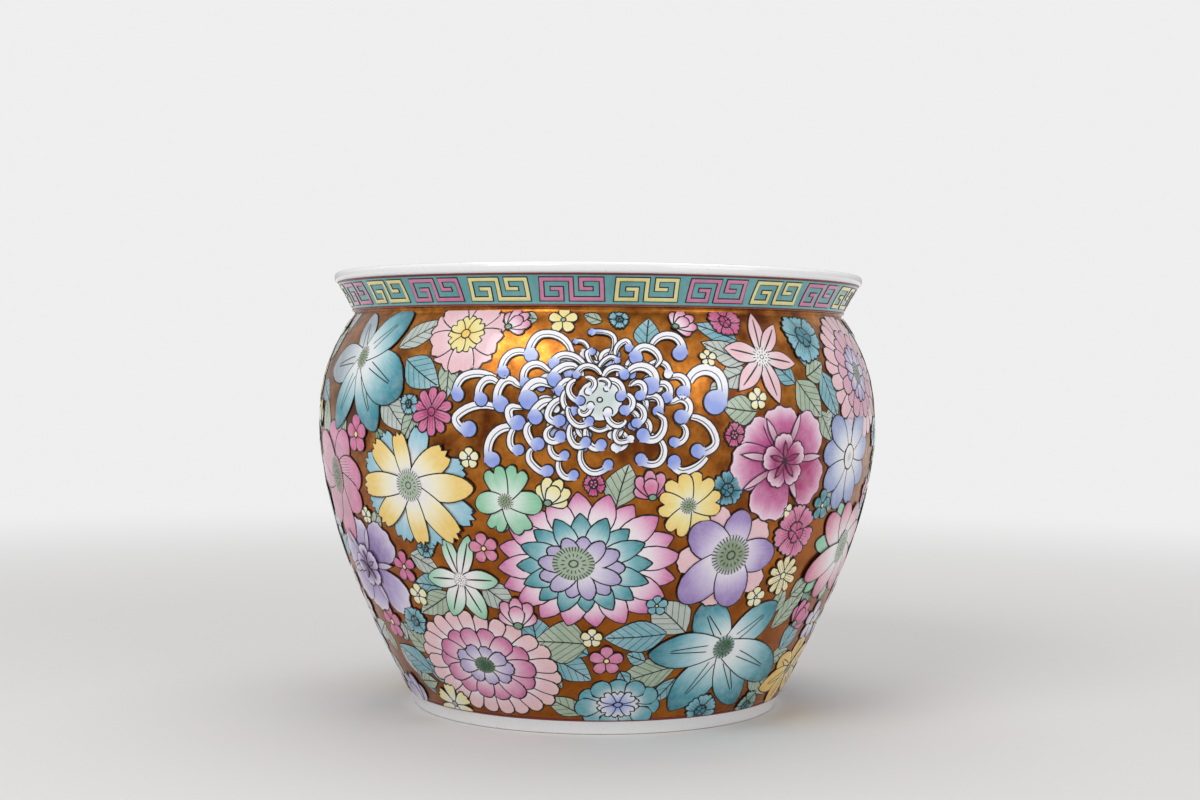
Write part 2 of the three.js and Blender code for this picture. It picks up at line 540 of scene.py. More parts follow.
def enamel_finish(name, marks=None, roughness=0.16, ink=INK, outlined=True):
    """Raised translucent enamel over the petal's own tints, inside a dark outline.

    marks adds the painter's lines. It takes the finish, the distances across and along the petal,
    the share of its length, and the distance from its border, and gives the lines' strength."""
    made = Finish(name, Coat_Weight=0.15, Specular_IOR_Level=0.4)
    tint = made.attribute("Tint")
    across, along, rim = made.parts(made.attribute("Relief").outputs["Vector"])
    share = Amount(made, tint.outputs["Alpha"])
    wash = made.noise(
        1.0, 2, 0.55, made.attribute("Relief").outputs["Vector"], stretch=(0.9, 0.16, 0.0)
    )
    pool = made.noise(160, 2, 0.5)
    washed = made.mixed(wash.below(0.5, 0.5) * 0.38, tint.outputs["Color"],
                        tint.outputs["Color"], "MULTIPLY")
    washed = made.mixed(pool.below(0.45, 0.3) * 0.12, washed, rgba(WHITE))
    line = rim.below(OUTLINE if outlined else -1, 0.14)
    if marks is not None:
        line = line.most(marks(made, across, along, share, rim))
    made.colour(made.mixed(line, washed, rgba(ink)))
    made.feed(made.shader.inputs["Roughness"], line * 0.25 + roughness)
    swell = rim.maths("MULTIPLY", rim, 0.9, clamp=True)
    made.bump(swell + pool * 0.15 - line * 0.25, 0.16, 0.7)
    return made.material


def paired_veins(made, across, along, share, rim):
    """Two lines up the middle of a petal that draw together towards its tip."""
    opening = 2.3 - share * share * 3.2
    line = abs(abs(across) - opening.most(0.0)).below(0.36, 0.14)
    return line * share.below(0.72, 0.03) * (1 - share.below(0.24, 0.03))


def single_vein(made, across, along, share, rim):
    """One dark line up the middle of a petal, thickest at its middle."""
    width = (share * math.pi).sine() * 0.55
    return abs(across).below(width, 0.15) * share.below(0.82, 0.03)


def leaf_veins(made, across, along, share, rim):
    """A midrib and slanting side veins."""
    midrib = abs(across).below(0.4, 0.14) * share.below(0.93, 0.02)
    slant = (along - abs(across) * 1.1) % 5.4
    veins = abs(slant - 2.7).below(0.3, 0.14) * (1 - rim.below(0.7, 0.1))
    return midrib.most(veins * 0.85)


def fine_pleats(made, across, along, share, rim):
    """Short fine lines from the base of a petal."""
    pleat = abs(across % 1.7 - 0.85).below(0.16, 0.12)
    return pleat * share.below(0.62, 0.05) * 0.75


def stamen_ticks(count):
    """Rings of short dark ticks round the middle of a flower."""
    def marks(made, across, along, share, rim):
        angle = across.maths("ARCTAN2", along, across)
        outer = (angle * count).sine().below(-0.35, 0.4) * (1 - share.below(0.74, 0.06))
        inner = (angle * round(count * 0.45)).sine().below(-0.6, 0.3)
        inner = inner * (1 - share.below(0.42, 0.05)) * share.below(0.60, 0.05)
        return outer.most(inner).most(abs(share - 0.22).below(0.04, 0.04)) * 0.9
    return marks


def curl_line(made, across, along, share, rim):
    """A line along a curl's strap, nearer to its inner edge."""
    return abs(across + 0.6).below(0.27, 0.12) * share.below(0.93, 0.02)


porcelain = porcelain_finish()
gilding = gilding_finish()
border_ground = ground_finish("teal_border_enamel", BORDER_TEAL, (0.34, 0.60, 0.62))
iron_red = plain_finish("iron_red_line", IRON_RED, 0.25)
ink = plain_finish("outline_enamel", INK, 0.3)
key_pink = ground_finish("pink_key_enamel", KEY_PINK, (0.78, 0.45, 0.60))
key_yellow = ground_finish("yellow_key_enamel", KEY_YELLOW, (0.88, 0.83, 0.55))
plain_enamel = enamel_finish("petal_enamel")
veined_enamel = enamel_finish("veined_petal_enamel", paired_veins)
slit_enamel = enamel_finish("slit_petal_enamel", single_vein)
pleated_enamel = enamel_finish("pleated_petal_enamel", fine_pleats)
leaf_enamel = enamel_finish("leaf_enamel", leaf_veins)
stamen_enamel = enamel_finish("stamen_enamel", stamen_ticks(19), 0.25, outlined=False)
full_stamen_enamel = enamel_finish("full_stamen_enamel", stamen_ticks(34), 0.25, outlined=False)
peony_enamel = enamel_finish("peony_enamel", ink=(0.24, 0.03, 0.20))
curl_enamel = enamel_finish("curl_enamel", curl_line)


# ------------------------------------------------
# The turned body and its coats
# ------------------------------------------------

def show(mesh, name, slot, *materials, clean=True):
    """Makes the finished piece of a mesh, riding on the pot."""
    if clean:
        bmesh.ops.remove_doubles(mesh, verts=mesh.verts, dist=0.002 * MM)
    for face in mesh.faces:
        face.smooth = True
    data = bpy.data.meshes.new(name)
    mesh.to_mesh(data)
    mesh.free()
    for material in materials:
        data.materials.append(material)
    piece = bpy.data.objects.new(name, data)
    bpy.context.scene.collection.objects.link(piece)
    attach(piece, "root")
    return piece


def turned(outline, closed=False):
    """A full turn of an outline round the pot's axis."""
    mesh = bmesh.new()
    points = [mesh.verts.new((r * MM, 0, z * MM)) for r, z in outline]
    pairs = list(zip(points, points[1:]))
    if closed:
        pairs.append((points[-1], points[0]))
    edges = [mesh.edges.new(pair) for pair in pairs]
    bmesh.ops.spin(
        mesh,
        geom=points + edges,
        cent=(0, 0, 0),
        axis=(0, 0, 1),
        angle=2 * math.pi,
        steps=TURN_STEPS,
        use_merge=True,
    )
    bmesh.ops.remove_doubles(mesh, verts=mesh.verts, dist=0.01 * MM)
    bmesh.ops.recalc_face_normals(mesh, faces=mesh.faces)
    return mesh


def coat(outline, lift):
    """A thin ring that lies on a stretch of the outside, with its hidden side in the body."""
    along = np.gradient(outline, axis=0)
    along /= np.linalg.norm(along, axis=1)[:, None]
    out = np.stack([along[:, 1], -along[:, 0]], 1)
    return turned(np.vstack([outline + out * lift, (outline - out * COAT_ROOT)[::-1]]), True)


def stretch(outline, low, high):
    """The part of an outline between two levels, with a point at each of them."""
    inside = outline[(outline[:, 1] > low) & (outline[:, 1] < high)]
    ends = [(np.interp(z, outline[:, 1], outline[:, 0]), z) for z in (low, high)]
    return np.vstack([[ends[0]], inside, [ends[1]]])


NECK_LINE_GAP = 0.7          # from the band's lower edge down to where its red line ends


def make_body():
    body = show(turned(pot_outline), "porcelain_body", "glazed_porcelain", porcelain, clean=False)
    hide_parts("porcelain_jardiniere")
    side_gilt = stretch(outer_side, FOOT_HEIGHT + 0.6, neck_level - 0.1)
    gilt = np.vstack([side_gilt, band_outline[:GROOVE_STEPS - 1]])
    show(coat(gilt, GILDING_LIFT), "gilt_ground", "gilding", gilding)
    band_edge = band_outline[GROOVE_STEPS - 1:GROOVE_STEPS + 2]
    edge = stretch(band_edge, groove_top, band_level - NECK_LINE_GAP)
    show(coat(edge, LINE_LIFT), "neck_line", "overglaze_enamel", iron_red)
    flare = stretch(band_outline[GROOVE_STEPS:], band_level - NECK_LINE_GAP, lip_level - 0.2)
    show(coat(flare, BORDER_LIFT), "border_ground", "overglaze_enamel", border_ground)
    top_line = stretch(flare_outline, lip_level - 1.1, lip_level - 0.1)
    show(coat(top_line, ENAMEL_LIFT), "band_top_line", "overglaze_enamel", iron_red)
    foot_line = stretch(outer_side, FOOT_HEIGHT + 0.2, FOOT_HEIGHT + 1.3)
    show(coat(foot_line, LINE_LIFT), "foot_line", "overglaze_enamel", iron_red)


# ------------------------------------------------
# The key border
# ------------------------------------------------

KEY_COUNT = 24
KEY_TURN = -5.2              # azimuth of a pink key, degrees
KEY_FOOT = 253.2             # level of the keys' lower edge
KEY_OUTLINE = 0.75
KEY_LIFT = 0.42
KEY_PATTERN = (
    "######.####",
    "#....#.#..#",
    "#.##.#.##.#",
    "#..#.#....#",
    "####.######",
)
KEY_COLUMNS = (3.6, 2.6, 4.9, 3.6, 2.1, 3.6, 2.1, 3.6, 5.2, 2.7, 3.6)
KEY_ROWS = (3.7, 2.8, 3.5, 2.5, 3.7)


def key_unit(azimuth):
    """One key: a lattice whose open cells are taken out, with a sloping outline round the rest."""
    mesh = bmesh.new()
    across = np.concatenate([[0], np.cumsum(KEY_COLUMNS)])
    up = np.concatenate([[0], np.cumsum(KEY_ROWS)])
    bmesh.ops.create_grid(
        mesh, x_segments=len(KEY_COLUMNS), y_segments=len(KEY_ROWS), size=1
    )
    for vert in mesh.verts:
        column = round((vert.co.x + 1) / 2 * len(KEY_COLUMNS))
        row = round((vert.co.y + 1) / 2 * len(KEY_ROWS))
        vert.co = Vector((across[column] - across[-1] / 2, up[row], 0))
    open_cells = []
    for face in mesh.faces:
        middle = face.calc_center_median()
        column = int(np.searchsorted(across, middle.x + across[-1] / 2)) - 1
        row = int(np.searchsorted(up, middle.y)) - 1
        if KEY_PATTERN[len(KEY_ROWS) - 1 - row][column] == ".":
            open_cells.append(face)
    bmesh.ops.delete(mesh, geom=open_cells, context="FACES")
    inner = list(mesh.faces)
    rim = bmesh.ops.inset_region(
        mesh, faces=inner, thickness=KEY_OUTLINE, depth=0, use_boundary=True, use_even_offset=True
    )["faces"]
    for face in rim:
        face.material_index = 1
    raised = {vert for face in inner for vert in face.verts}
    run = np.interp(KEY_FOOT, band.level, band.run)
    for vert in mesh.verts:
        lift = KEY_LIFT if vert in raised else 0.0
        level = np.interp(run + vert.co.y, band.run, band.level)
        vert.co = band.place(azimuth, level, vert.co.x, 0, lift)
    return mesh


def make_keys():
    for index in range(KEY_COUNT):
        azimuth = KEY_TURN + index * 360 / KEY_COUNT
        colour = "pink" if index % 2 == 0 else "yellow"
        finish = key_pink if index % 2 == 0 else key_yellow
        name = f"{colour}_key_{index // 2 + 1:02d}"
        show(key_unit(azimuth), name, "overglaze_enamel", finish, ink)


# ------------------------------------------------
# Petals, leaves and curls
# ------------------------------------------------

class Spray:
    """One enamelled piece, into which petals, leaves and stamens are laid one over the other."""

    turn = 0                 # how far round the pot the pieces are being laid, degrees
    suffix = ""
    repaint = {}             # colours that are swapped for others on that side

    def __init__(self, name, azimuth=0, level=0):
        self.name = name + Spray.suffix
        self.mesh = bmesh.new()
        self.tint = self.mesh.verts.layers.float_color.new("Tint")
        self.relief = self.mesh.verts.layers.float_vector.new("Relief")
        self.materials = []
        self.layer = 0
        self.move(azimuth, level)

    def move(self, azimuth, level):
        self.azimuth = azimuth + Spray.turn
        self.level = level

    def material(self, material):
        if material not in self.materials:
            self.materials.append(material)
        return self.materials.index(material)

    def patch(self, shape, columns, rows, material, layer=None):
        """A small grid, each of whose points shape() gives its place, lift, tint and relief."""
        made = bmesh.ops.create_grid(self.mesh, x_segments=columns, y_segments=rows, size=1)
        index = self.material(material)
        for face in {face for vert in made["verts"] for face in vert.link_faces}:
            face.material_index = index
        base = ENAMEL_LIFT + (self.layer if layer is None else layer) * LAYER
        for vert in made["verts"]:
            right, up, lift, tint, relief = shape(vert.co.x, (vert.co.y + 1) / 2)
            vert.co = side.place(self.azimuth, self.level, right, up, base + lift)
            vert[self.tint] = tint
            vert[self.relief] = relief
        if layer is None:
            self.layer += 1

    def finish(self):
        """Cuts the piece off at the foot line and the neck, and shows it."""
        for level, out in ((FOOT_HEIGHT + FOOT_GAP, -1), (neck_level - NECK_GAP, 1)):
            bmesh.ops.bisect_plane(
                self.mesh,
                geom=list(self.mesh.verts) + list(self.mesh.edges) + list(self.mesh.faces),
                plane_co=(0, 0, level * MM),
                plane_no=(0, 0, out),
                clear_outer=True,
            )
        return show(self.mesh, self.name, "overglaze_enamel", *self.materials)


def washes(stops):
    """The linear colours of a petal's tints, as that side of the pot has them."""
    return [linear(Spray.repaint.get(stop, stop)) for stop in stops]


def blended(stops, share):
    """The colour at that share of the way through evenly spaced linear colours."""
    place = min(max(share, 0), 1) * (len(stops) - 1)
    index = min(int(place), len(stops) - 2)
    rest = place - index
    return [a + (b - a) * rest for a, b in zip(stops[index], stops[index + 1])]


LARGE_FLOWER_LAYER = 2       # the large flowers start here,
SMALL_FLOWER_LAYER = 5       # the small ones over them,
OPEN_FLOWER_LAYER = 6        # and the small ones with petals of their own over those
SMALL_REACH = 25             # longest petal of a small open flower
CROWN_RUN = 1.4              # how far from its border a petal has risen to its crown
TEETH = 8                    # teeth along each side of a leaf

# How a petal is cut: neck and point are shares of its full width at its two ends, full is the
# share of its length at which it is widest, cap rounds its tip, notch splits it, ruffle frills it.
CUTS = {
    "pointed": dict(neck=0.30, full=0.55, point=0.03, cap=0.0, notch=0.0, ruffle=0.0),
    "scale": dict(neck=0.70, full=0.45, point=0.22, cap=0.55, notch=0.0, ruffle=0.0),
    "clematis": dict(neck=0.36, full=0.55, point=0.24, cap=0.50, notch=0.0, ruffle=0.0),
    "blunt": dict(neck=0.32, full=0.60, point=0.36, cap=0.50, notch=0.0, ruffle=0.0),
    "wide": dict(neck=0.45, full=0.55, point=0.62, cap=0.75, notch=0.0, ruffle=0.0),
    "round": dict(neck=0.42, full=0.66, point=0.80, cap=0.90, notch=0.0, ruffle=0.0),
    "strap": dict(neck=0.70, full=0.60, point=0.95, cap=0.70, notch=0.0, ruffle=0.0),
    "heart": dict(neck=0.30, full=0.80, point=0.95, cap=0.55, notch=0.50, ruffle=0.0),
    "notched": dict(neck=0.50, full=0.70, point=0.90, cap=0.40, notch=0.30, ruffle=0.30),
    "jagged": dict(neck=0.42, full=0.62, point=0.72, cap=0.30, notch=0.0, ruffle=1.0),
    "ruffled": dict(neck=0.30, full=0.85, point=1.00, cap=0.30, notch=0.0, ruffle=0.55),
    "wavy": dict(neck=0.35, full=0.75, point=0.92, cap=0.70, notch=0.0, ruffle=0.28),
    "leaf": dict(neck=0.12, full=0.42, point=0.02, cap=0.0, notch=0.0, ruffle=0.0),
}


def petal(
    spray, angle, length, width, cut, stops, material, centre=(0, 0), start=0.0, bow=0.0,
    grid=(6, 7), layer=None, saw=0.0,
):
    """Lays one petal from the centre outwards. Width is its half width, bow bends it sideways."""
    made = CUTS[cut]
    tints = washes(stops)
    cos, sin = math.cos(math.radians(angle)), math.sin(math.radians(angle))

    def half_width(share):
        grown = made["neck"] + (1 - made["neck"]) * math.sin(
            min(share / made["full"], 1) * math.pi / 2
        )
        if share > made["full"]:
            past = (share - made["full"]) / (1 - made["full"])
            grown *= 1 - (1 - made["point"]) * past ** 1.7
        return width * grown

    def shape(s, t):
        drop = made["cap"] * (1 - math.sqrt(max(1 - s * s, 0)))
        drop += made["notch"] * max(0, 1 - abs(s) * 3.2)
        drop += made["ruffle"] * 0.22 * (1 - math.cos(s * 3 * math.pi))
        tip = length - drop * width
        along = start + (tip - start) * t
        half = half_width((along - start) / (length - start))
        toothed = 1 + saw * ((t * TEETH) % 1) * (1 if 0.1 < t < 0.95 else 0)
        across = half * s * toothed
        bent = across + bow * (along / length) ** 2 * length
        right = centre[0] + along * cos + bent * sin
        up = centre[1] + along * sin - bent * cos
        edge = half * (1 - abs(s))
        if made["point"] > 0.1:
            edge = min(edge, (tip - along) * 0.8)
        lift = CROWN * min(edge / CROWN_RUN, 1)
        return right, up, lift, (*blended(tints, t), t), (across, along, edge)

    spray.patch(shape, grid[0], grid[1], material, layer)


def ring(
    spray, count, length, width, cut, stops, material=None, turn=90, oval=1.0, tilt=0.0,
    start=0.0, grid=(6, 6), wild=0.0, centre=(0, 0),
):
    """A ring of like petals, every other one on top. Oval widens it along the tilted axis, and
    wild varies the petals a little. Start is the share of the length left to the middle."""
    slope = math.radians(tilt)
    for index in range(count):
        angle = math.radians(turn + index * 360 / count)
        long_way, short_way = math.cos(angle) * oval, math.sin(angle)
        reach = math.hypot(long_way, short_way)
        angle = math.atan2(short_way, long_way) + slope
        grown = length * reach * (1 + chance.uniform(-wild, wild) * 0.35)
        last = index == count - 1 and count % 2
        petal(
            spray,
            math.degrees(angle) + chance.uniform(-wild, wild) * 12,
            grown,
            width * (1 + chance.uniform(-wild, wild) * 0.3),
            cut,
            stops,
            material or plain_enamel,
            centre=centre,
            start=start * grown,
            grid=grid,
            layer=spray.layer + (2 if last else index % 2),
        )
    spray.layer += 3 if count % 2 else 2


def disc(spray, right, up, stops, material=None, centre=(0, 0), grid=8, layer=None):
    """An oval button of enamel in the middle of a flower. Its tints run from middle to border."""
    tints = washes(stops)

    def shape(s, t):
        x, y = s, t * 2 - 1
        a = x * math.sqrt(1 - y * y / 2)
        b = y * math.sqrt(1 - x * x / 2)
        share = min(math.hypot(a, b), 1)
        edge = (1 - share) * min(right, up)
        lift = CROWN * 1.5 * (1 - share ** 2)
        return (
            centre[0] + a * right,
            centre[1] + b * up,
            lift,
            (*blended(tints, share), share),
            (a * right, b * up, edge),
        )

    spray.patch(shape, grid, grid, material or stamen_enamel, layer)


def turned_by(way, degrees):
    turn = math.radians(degrees)
    return Vector((
        way.x * math.cos(turn) - way.y * math.sin(turn),
        way.x * math.sin(turn) + way.y * math.cos(turn),
    ))


def rounded(start, leaving, end, arriving, hand, share):
    """A point of the round curve between two points that leaves and arrives in given ways."""
    swing = hand * (math.atan2(arriving.y, arriving.x) - math.atan2(leaving.y, leaving.x))
    swing = min(max(swing % (2 * math.pi), 0.3), 4.0)
    if hand * (leaving.x * arriving.y - leaving.y * arriving.x) < 0 and swing > math.pi * 1.4:
        swing = 0.3
    pull = (end - start).length * 2 / 3 * math.tan(swing / 4) / math.sin(swing / 2)
    points = (start, start + leaving * pull, end - arriving * pull, end)
    rest = 1 - share
    weights = (rest ** 3, 3 * rest ** 2 * share, 3 * rest * share ** 2, share ** 3)
    return sum((point * weight for point, weight in zip(points, weights)), Vector((0, 0)))


def curl(spray, root, crest, head, size, hand, tip, layer):
    """A strap petal from its root over its crest to a round head, rolled in at its end.

    Hand is 1 where it turns anticlockwise and -1 where it turns clockwise. Size is the radius
    of the head, and all places are right and up of the middle of the flower."""
    root, crest, head = Vector(root), Vector(crest), Vector(head)
    half = 1.1 + 0.38 * size
    outward = turned_by(crest - head, hand * CURL_SWEEP).normalized()
    end = head + outward * (size - half)
    arriving = turned_by(outward, hand * 90)
    over = (end - root).normalized()
    chord = (crest - root).normalized()
    leaving = chord * (2 * chord.dot(over)) - over
    tints = washes([WHITE, CURL_WHITE, CURL_WHITE, CURL_WHITE, tip])
    shades = washes([CURL_WHITE if tip == WHITE else CURL_PALE, tip, tip])

    inwards = -(leaving + root.normalized() * 2).normalized()
    hidden = min(max(root.length - 17, 0) * 0.6, 5) if root.length < 50 else 0

    def spine(share):
        if share < CURL_ROOT:
            return root + inwards * (CURL_ROOT - share) / CURL_ROOT * hidden
        if share < CURL_CREST:
            rising = (share - CURL_ROOT) / (CURL_CREST - CURL_ROOT)
            return rounded(root, leaving, crest, over, hand, rising)
        return rounded(crest, over, end, arriving, hand, (share - CURL_CREST) / (1 - CURL_CREST))

    def strap(s, t):
        ahead = (spine(min(t + 0.01, 1)) - spine(max(t - 0.01, 0))).normalized()
        width = half * (0.5 + 0.5 * math.sin(min(t * 2, 1) * math.pi / 2))
        point = spine(t) + turned_by(ahead, -90 * hand) * (s * width)
        edge = width * (1 - abs(s))
        return point.x, point.y, 0.0, (*blended(tints, t), t), (s * width, t * 30, edge)

    def ball(s, t):
        x, y = s, t * 2 - 1
        a = x * math.sqrt(1 - y * y / 2)
        b = y * math.sqrt(1 - x * x / 2)
        spot = Vector((a, b)) * size
        past = spot.dot(arriving)
        joined = spot.dot(outward) > size - 2 * half - 0.2 and past < 0
        edge = 4.0 if joined else size * (1 - min(math.hypot(a, b), 1))
        tint = blended(shades, (past / size + 1) / 2)
        return head.x + spot.x, head.y + spot.y, 0.0, (*tint, 1.0), (9.0, 0.0, edge)

    spray.patch(strap, 4, 16, curl_enamel, layer)
    spray.patch(ball, 8, 8, curl_enamel, layer + 0.12)


# ------------------------------------------------
# Flowers by kind
# ------------------------------------------------

chance = random.Random(14)


def open_flower(
    name, azimuth, level, cut, petals, tints, heart, material=plain_enamel,
    behind_cut=None, behind_tints=None, behind=(),
):
    """A flower whose petals differ: each has its angle, length and half width, and may have its
    own cut and tints. Petals behind share theirs. Small flowers lie over the large ones."""
    spray = Spray(name, azimuth, level)
    spray.layer = LARGE_FLOWER_LAYER if petals[0][1] > SMALL_REACH else OPEN_FLOWER_LAYER
    for angle, length, width in behind:
        petal(spray, angle, length, width, behind_cut, behind_tints, plain_enamel,
              grid=(8, 7), start=5)
    for index, (angle, length, width, *own) in enumerate(petals):
        own_cut, own_tints = own + [cut, tints][len(own):]
        petal(spray, angle, length, width, own_cut, own_tints, material,
              grid=(8, 9), bow=0.05 * (-1) ** index)
    heart(spray)
    return spray.finish()


def ticked_heart(right, up, middle=SAGE, outside=WHITE, centre=(0, 0)):
    """A round of stamens: a green button with dark ticks that run out over the petals."""
    def laid(spray):
        enamel = full_stamen_enamel if right > 8 else stamen_enamel
        disc(spray, right, up, [middle, middle, middle, outside], enamel, centre, 12)
    return laid


def blossom(
    name, azimuth, level, size, tints, cut="round", count=5, turn=90, heart=0.2, tall=1.0,
    middle=PALE_YELLOW, plump=0.66,
):
    """A small flat flower with one ring of petals."""
    spray = Spray(name, azimuth, level)
    spray.layer = SMALL_FLOWER_LAYER
    ring(
        spray, count, size * tall, math.pi / count * size * plump, cut, tints,
        turn=turn, oval=1 / tall, start=0.1, wild=0.12,
    )
    disc(spray, size * heart, size * heart * tall, [middle, middle], plain_enamel, grid=5)
    return spray.finish()


def yellow_blossom(place, azimuth, level, size, plump=0.72):
    """The smallest flower, which fills gaps all over the pattern."""
    blossom("yellow_blossom_" + place, azimuth, level, size, CREAM_WASH, plump=plump)


def ruffle(name, azimuth, level, size, tints, tall=1.0, count=6):
    """A small frilled flower: ruffled lobes with fine pleats round a small dark knot."""
    spray = Spray(name, azimuth, level)
    spray.layer = SMALL_FLOWER_LAYER
    half = math.pi / count * size * 0.92
    ring(spray, count, size * tall, half, "ruffled", tints, pleated_enamel, oval=1 / tall,
         start=0.12, grid=(9, 5), wild=0.35)
    ring(spray, 5, size * tall * 0.42, half * 0.5, "ruffled", tints[:1] * 2, plain_enamel,
         oval=1 / tall, turn=60, grid=(7, 4), wild=0.3)
    return spray.finish()


def bud(name, azimuth, level, size, tints, lean=90):
    """A half open bud: side petals, a round front petal and a small green cup."""
    spray = Spray(name, azimuth, level)
    spray.layer = SMALL_FLOWER_LAYER
    turn = math.radians(lean)
    base = (-math.cos(turn) * size * 0.75, -math.sin(turn) * size * 0.75)
    for spread, reach, width in ((58, 1.25, 0.40), (-58, 1.25, 0.40), (30, 1.6, 0.42),
                                 (-30, 1.6, 0.42), (0, 1.7, 0.40), (0, 1.2, 0.48)):
        petal(
            spray, lean + spread, size * reach, size * width, "round", tints, plain_enamel,
            centre=base, grid=(6, 5),
        )
    disc(spray, size * 0.3, size * 0.24, [DEEP_LEAF] * 2, plain_enamel, base, grid=4)
    return spray.finish()


def daisy(name, azimuth, level, size, tints, count=10, tall=1.0):
    """Narrow round petals about a small button."""
    spray = Spray(name, azimuth, level)
    spray.layer = SMALL_FLOWER_LAYER
    ring(spray, count, size * tall, math.pi / count * size * 0.72, "strap", tints,
         pleated_enamel, oval=1 / tall, start=0.12)
    disc(spray, size * 0.2, size * 0.2 * tall, tints[:1] * 2, plain_enamel, grid=5)
    return spray.finish()


def layered_flower(name, azimuth, level, rings, heart, tilt=0.0):
    """Rings of petals one on the other, each a count, long and short radius, width, cut, tints."""
    spray = Spray(name, azimuth, level)
    spray.layer = LARGE_FLOWER_LAYER
    for count, long_way, short_way, width, cut, tints, start, centre in rings:
        ring(
            spray, count, short_way, width, cut, tints, turn=90 + chance.uniform(-5, 5),
            oval=long_way / short_way, tilt=tilt, start=start, centre=centre, grid=(6, 5),
            wild=0.08,
        )
    heart(spray)
    return spray.finish()


def peony(name, azimuth, level, petals, sepals, inner, tints, deep):
    """Broad frilled petals with narrow folded ones between, round a small open heart."""
    spray = Spray(name, azimuth, level)
    spray.layer = LARGE_FLOWER_LAYER
    for index, (angle, length, width) in enumerate(petals):
        wash = deep if index == 2 else tints
        petal(spray, angle, length, width, "wavy", wash, peony_enamel, grid=(11, 8),
              start=4, bow=0.03 * (-1) ** index)
    for angle, length in sepals:
        petal(spray, angle, length, 2.6, "pointed", tints[:1] + tints[-1:], peony_enamel,
              grid=(4, 6), start=7)
    ring(spray, 5, inner, inner * 0.45, "wavy", [deep[0], tints[1], tints[-1]], peony_enamel,
         turn=98, start=0.05, grid=(9, 5))
    for angle in range(20, 380, 72):
        petal(spray, angle, inner * 0.72, inner * 0.11, "pointed", [deep[0], tints[0]],
              peony_enamel, grid=(3, 4))
    return spray.finish()


def leaves(name, places):
    """A spray of leaves, each with its place, angle, length, half width and colour."""
    spray = Spray(name)
    for index, (azimuth, level, angle, length, width, tint) in enumerate(places):
        spray.move(azimuth, level)
        own = Spray.repaint.get(tint, tint)
        light = tuple(0.35 * w + 0.65 * c for w, c in zip(WHITE, own))
        petal(
            spray, angle, length * 1.12, width * 1.25, "leaf", [tint, tint, light], leaf_enamel,
            bow=0.08 * (-1) ** index, grid=(6, 9), saw=0.10, layer=index % 3 - 0.9,
        )
    return spray.finish()


CURL_SWEEP = 110             # how far a curl's strap wraps past its crest, degrees
CURL_STEP = 0.13             # layers between one curl and the next
CURL_LAYER = 2.1             # layer of the lowest curl
CURL_ROOT = 0.18             # share of a curl at which it comes out from under the others
CURL_CREST = 0.54            # share of a curl at its crest
INNER_CURLS = 14             # curls that lie over the button in the middle
CURL_WHITE = (0.95, 0.95, 0.97)
CURL_PALE = (0.78, 0.82, 0.94)

# Curls of the large chrysanthemum, in millimetres right and up of its middle: the root, the
# crest, the head and the head's radius.
LEFT_CURLS = (
    ((-16, 28), (-31, 38.5), (-38.5, 25), 4.6), ((-39, 25.5), (-50.5, 26), (-54.5, 15), 4.0),
    ((-59, 11.5), (-77.5, 13), (-82.5, 2), 4.6), ((-58, 9), (-66.5, 9.5), (-67.5, -0.5), 4.4),
    ((-47, 8.5), (-55, 9), (-55.5, -3), 5.1), ((-59, -4.5), (-82.5, -9.5), (-75, -17), 5.2),
    ((-46.5, -16), (-60, -20), (-60.5, -34), 5.1), ((-47, -4.5), (-51, -7.5), (-45.5, -13), 4.9),
    ((-47.5, -16), (-50, -24.5), (-45, -28), 3.7), ((-39.5, -14), (-40, -19.5), (-34, -24.5), 4.3),
    ((-38.5, -28.5), (-38, -35), (-28.5, -39.5), 3.9), ((-30, 17.5), (-40, 18.5), (-41, 8.5), 3.9),
    ((-30, 9), (-38, 8), (-39.5, -0.5), 5.9), ((-27, -1), (-33, -3), (-35.5, -10), 4.6),
    ((-9, 20), (-19, 25.5), (-25.5, 20), 3.7), ((-14, 19), (-21, 18), (-25, 11), 4.6),
    ((-15, 10), (-19, 10), (-22, 4.5), 3.4), ((-6.5, 28), (-9, 33), (-14, 33.5), 1.8),
    ((-2, 19), (8, 35), (-5, 39.5), 2.4), ((33.5, 22.5), (25.5, 30.5), (20, 24), 4.4),
    ((14, -15), (9, -21.5), (17.5, -21), 2.4), ((-10, -27.5), (-5.5, -39.5), (5, -35.5), 3.4),
    ((-22.5, -34), (-20, -42), (-14, -41.5), 3.4), ((-28.5, -16.5), (-27.5, -22.5), (-21.5, -20), 3.7),
    ((-27, -24), (-25, -31), (-19, -30.5), 3.2), ((-16, -14.5), (-14, -24.5), (-7.5, -23), 3.4),
    ((-7.5, -16.5), (-4.5, -25.5), (1, -24.5), 3.7), ((-20, 0.5), (-28.5, -8), (-22, -11.5), 3.9),
    ((0.5, 14), (-7, 19), (-13, 13.5), 2.6), ((-13.5, 10.5), (-17, 4.5), (-10.5, -0.5), 3.0),
    ((-19, 4.5), (-19.5, -3), (-13.5, -6), 2.8), ((-17.5, -4.5), (-13, -13.5), (-5.5, -11.5), 3.0),
    ((-9, -9), (-2, -16.5), (5.5, -14.5), 1.8), ((-11, -5), (-8, -8), (-5, -3), 2.4),
)
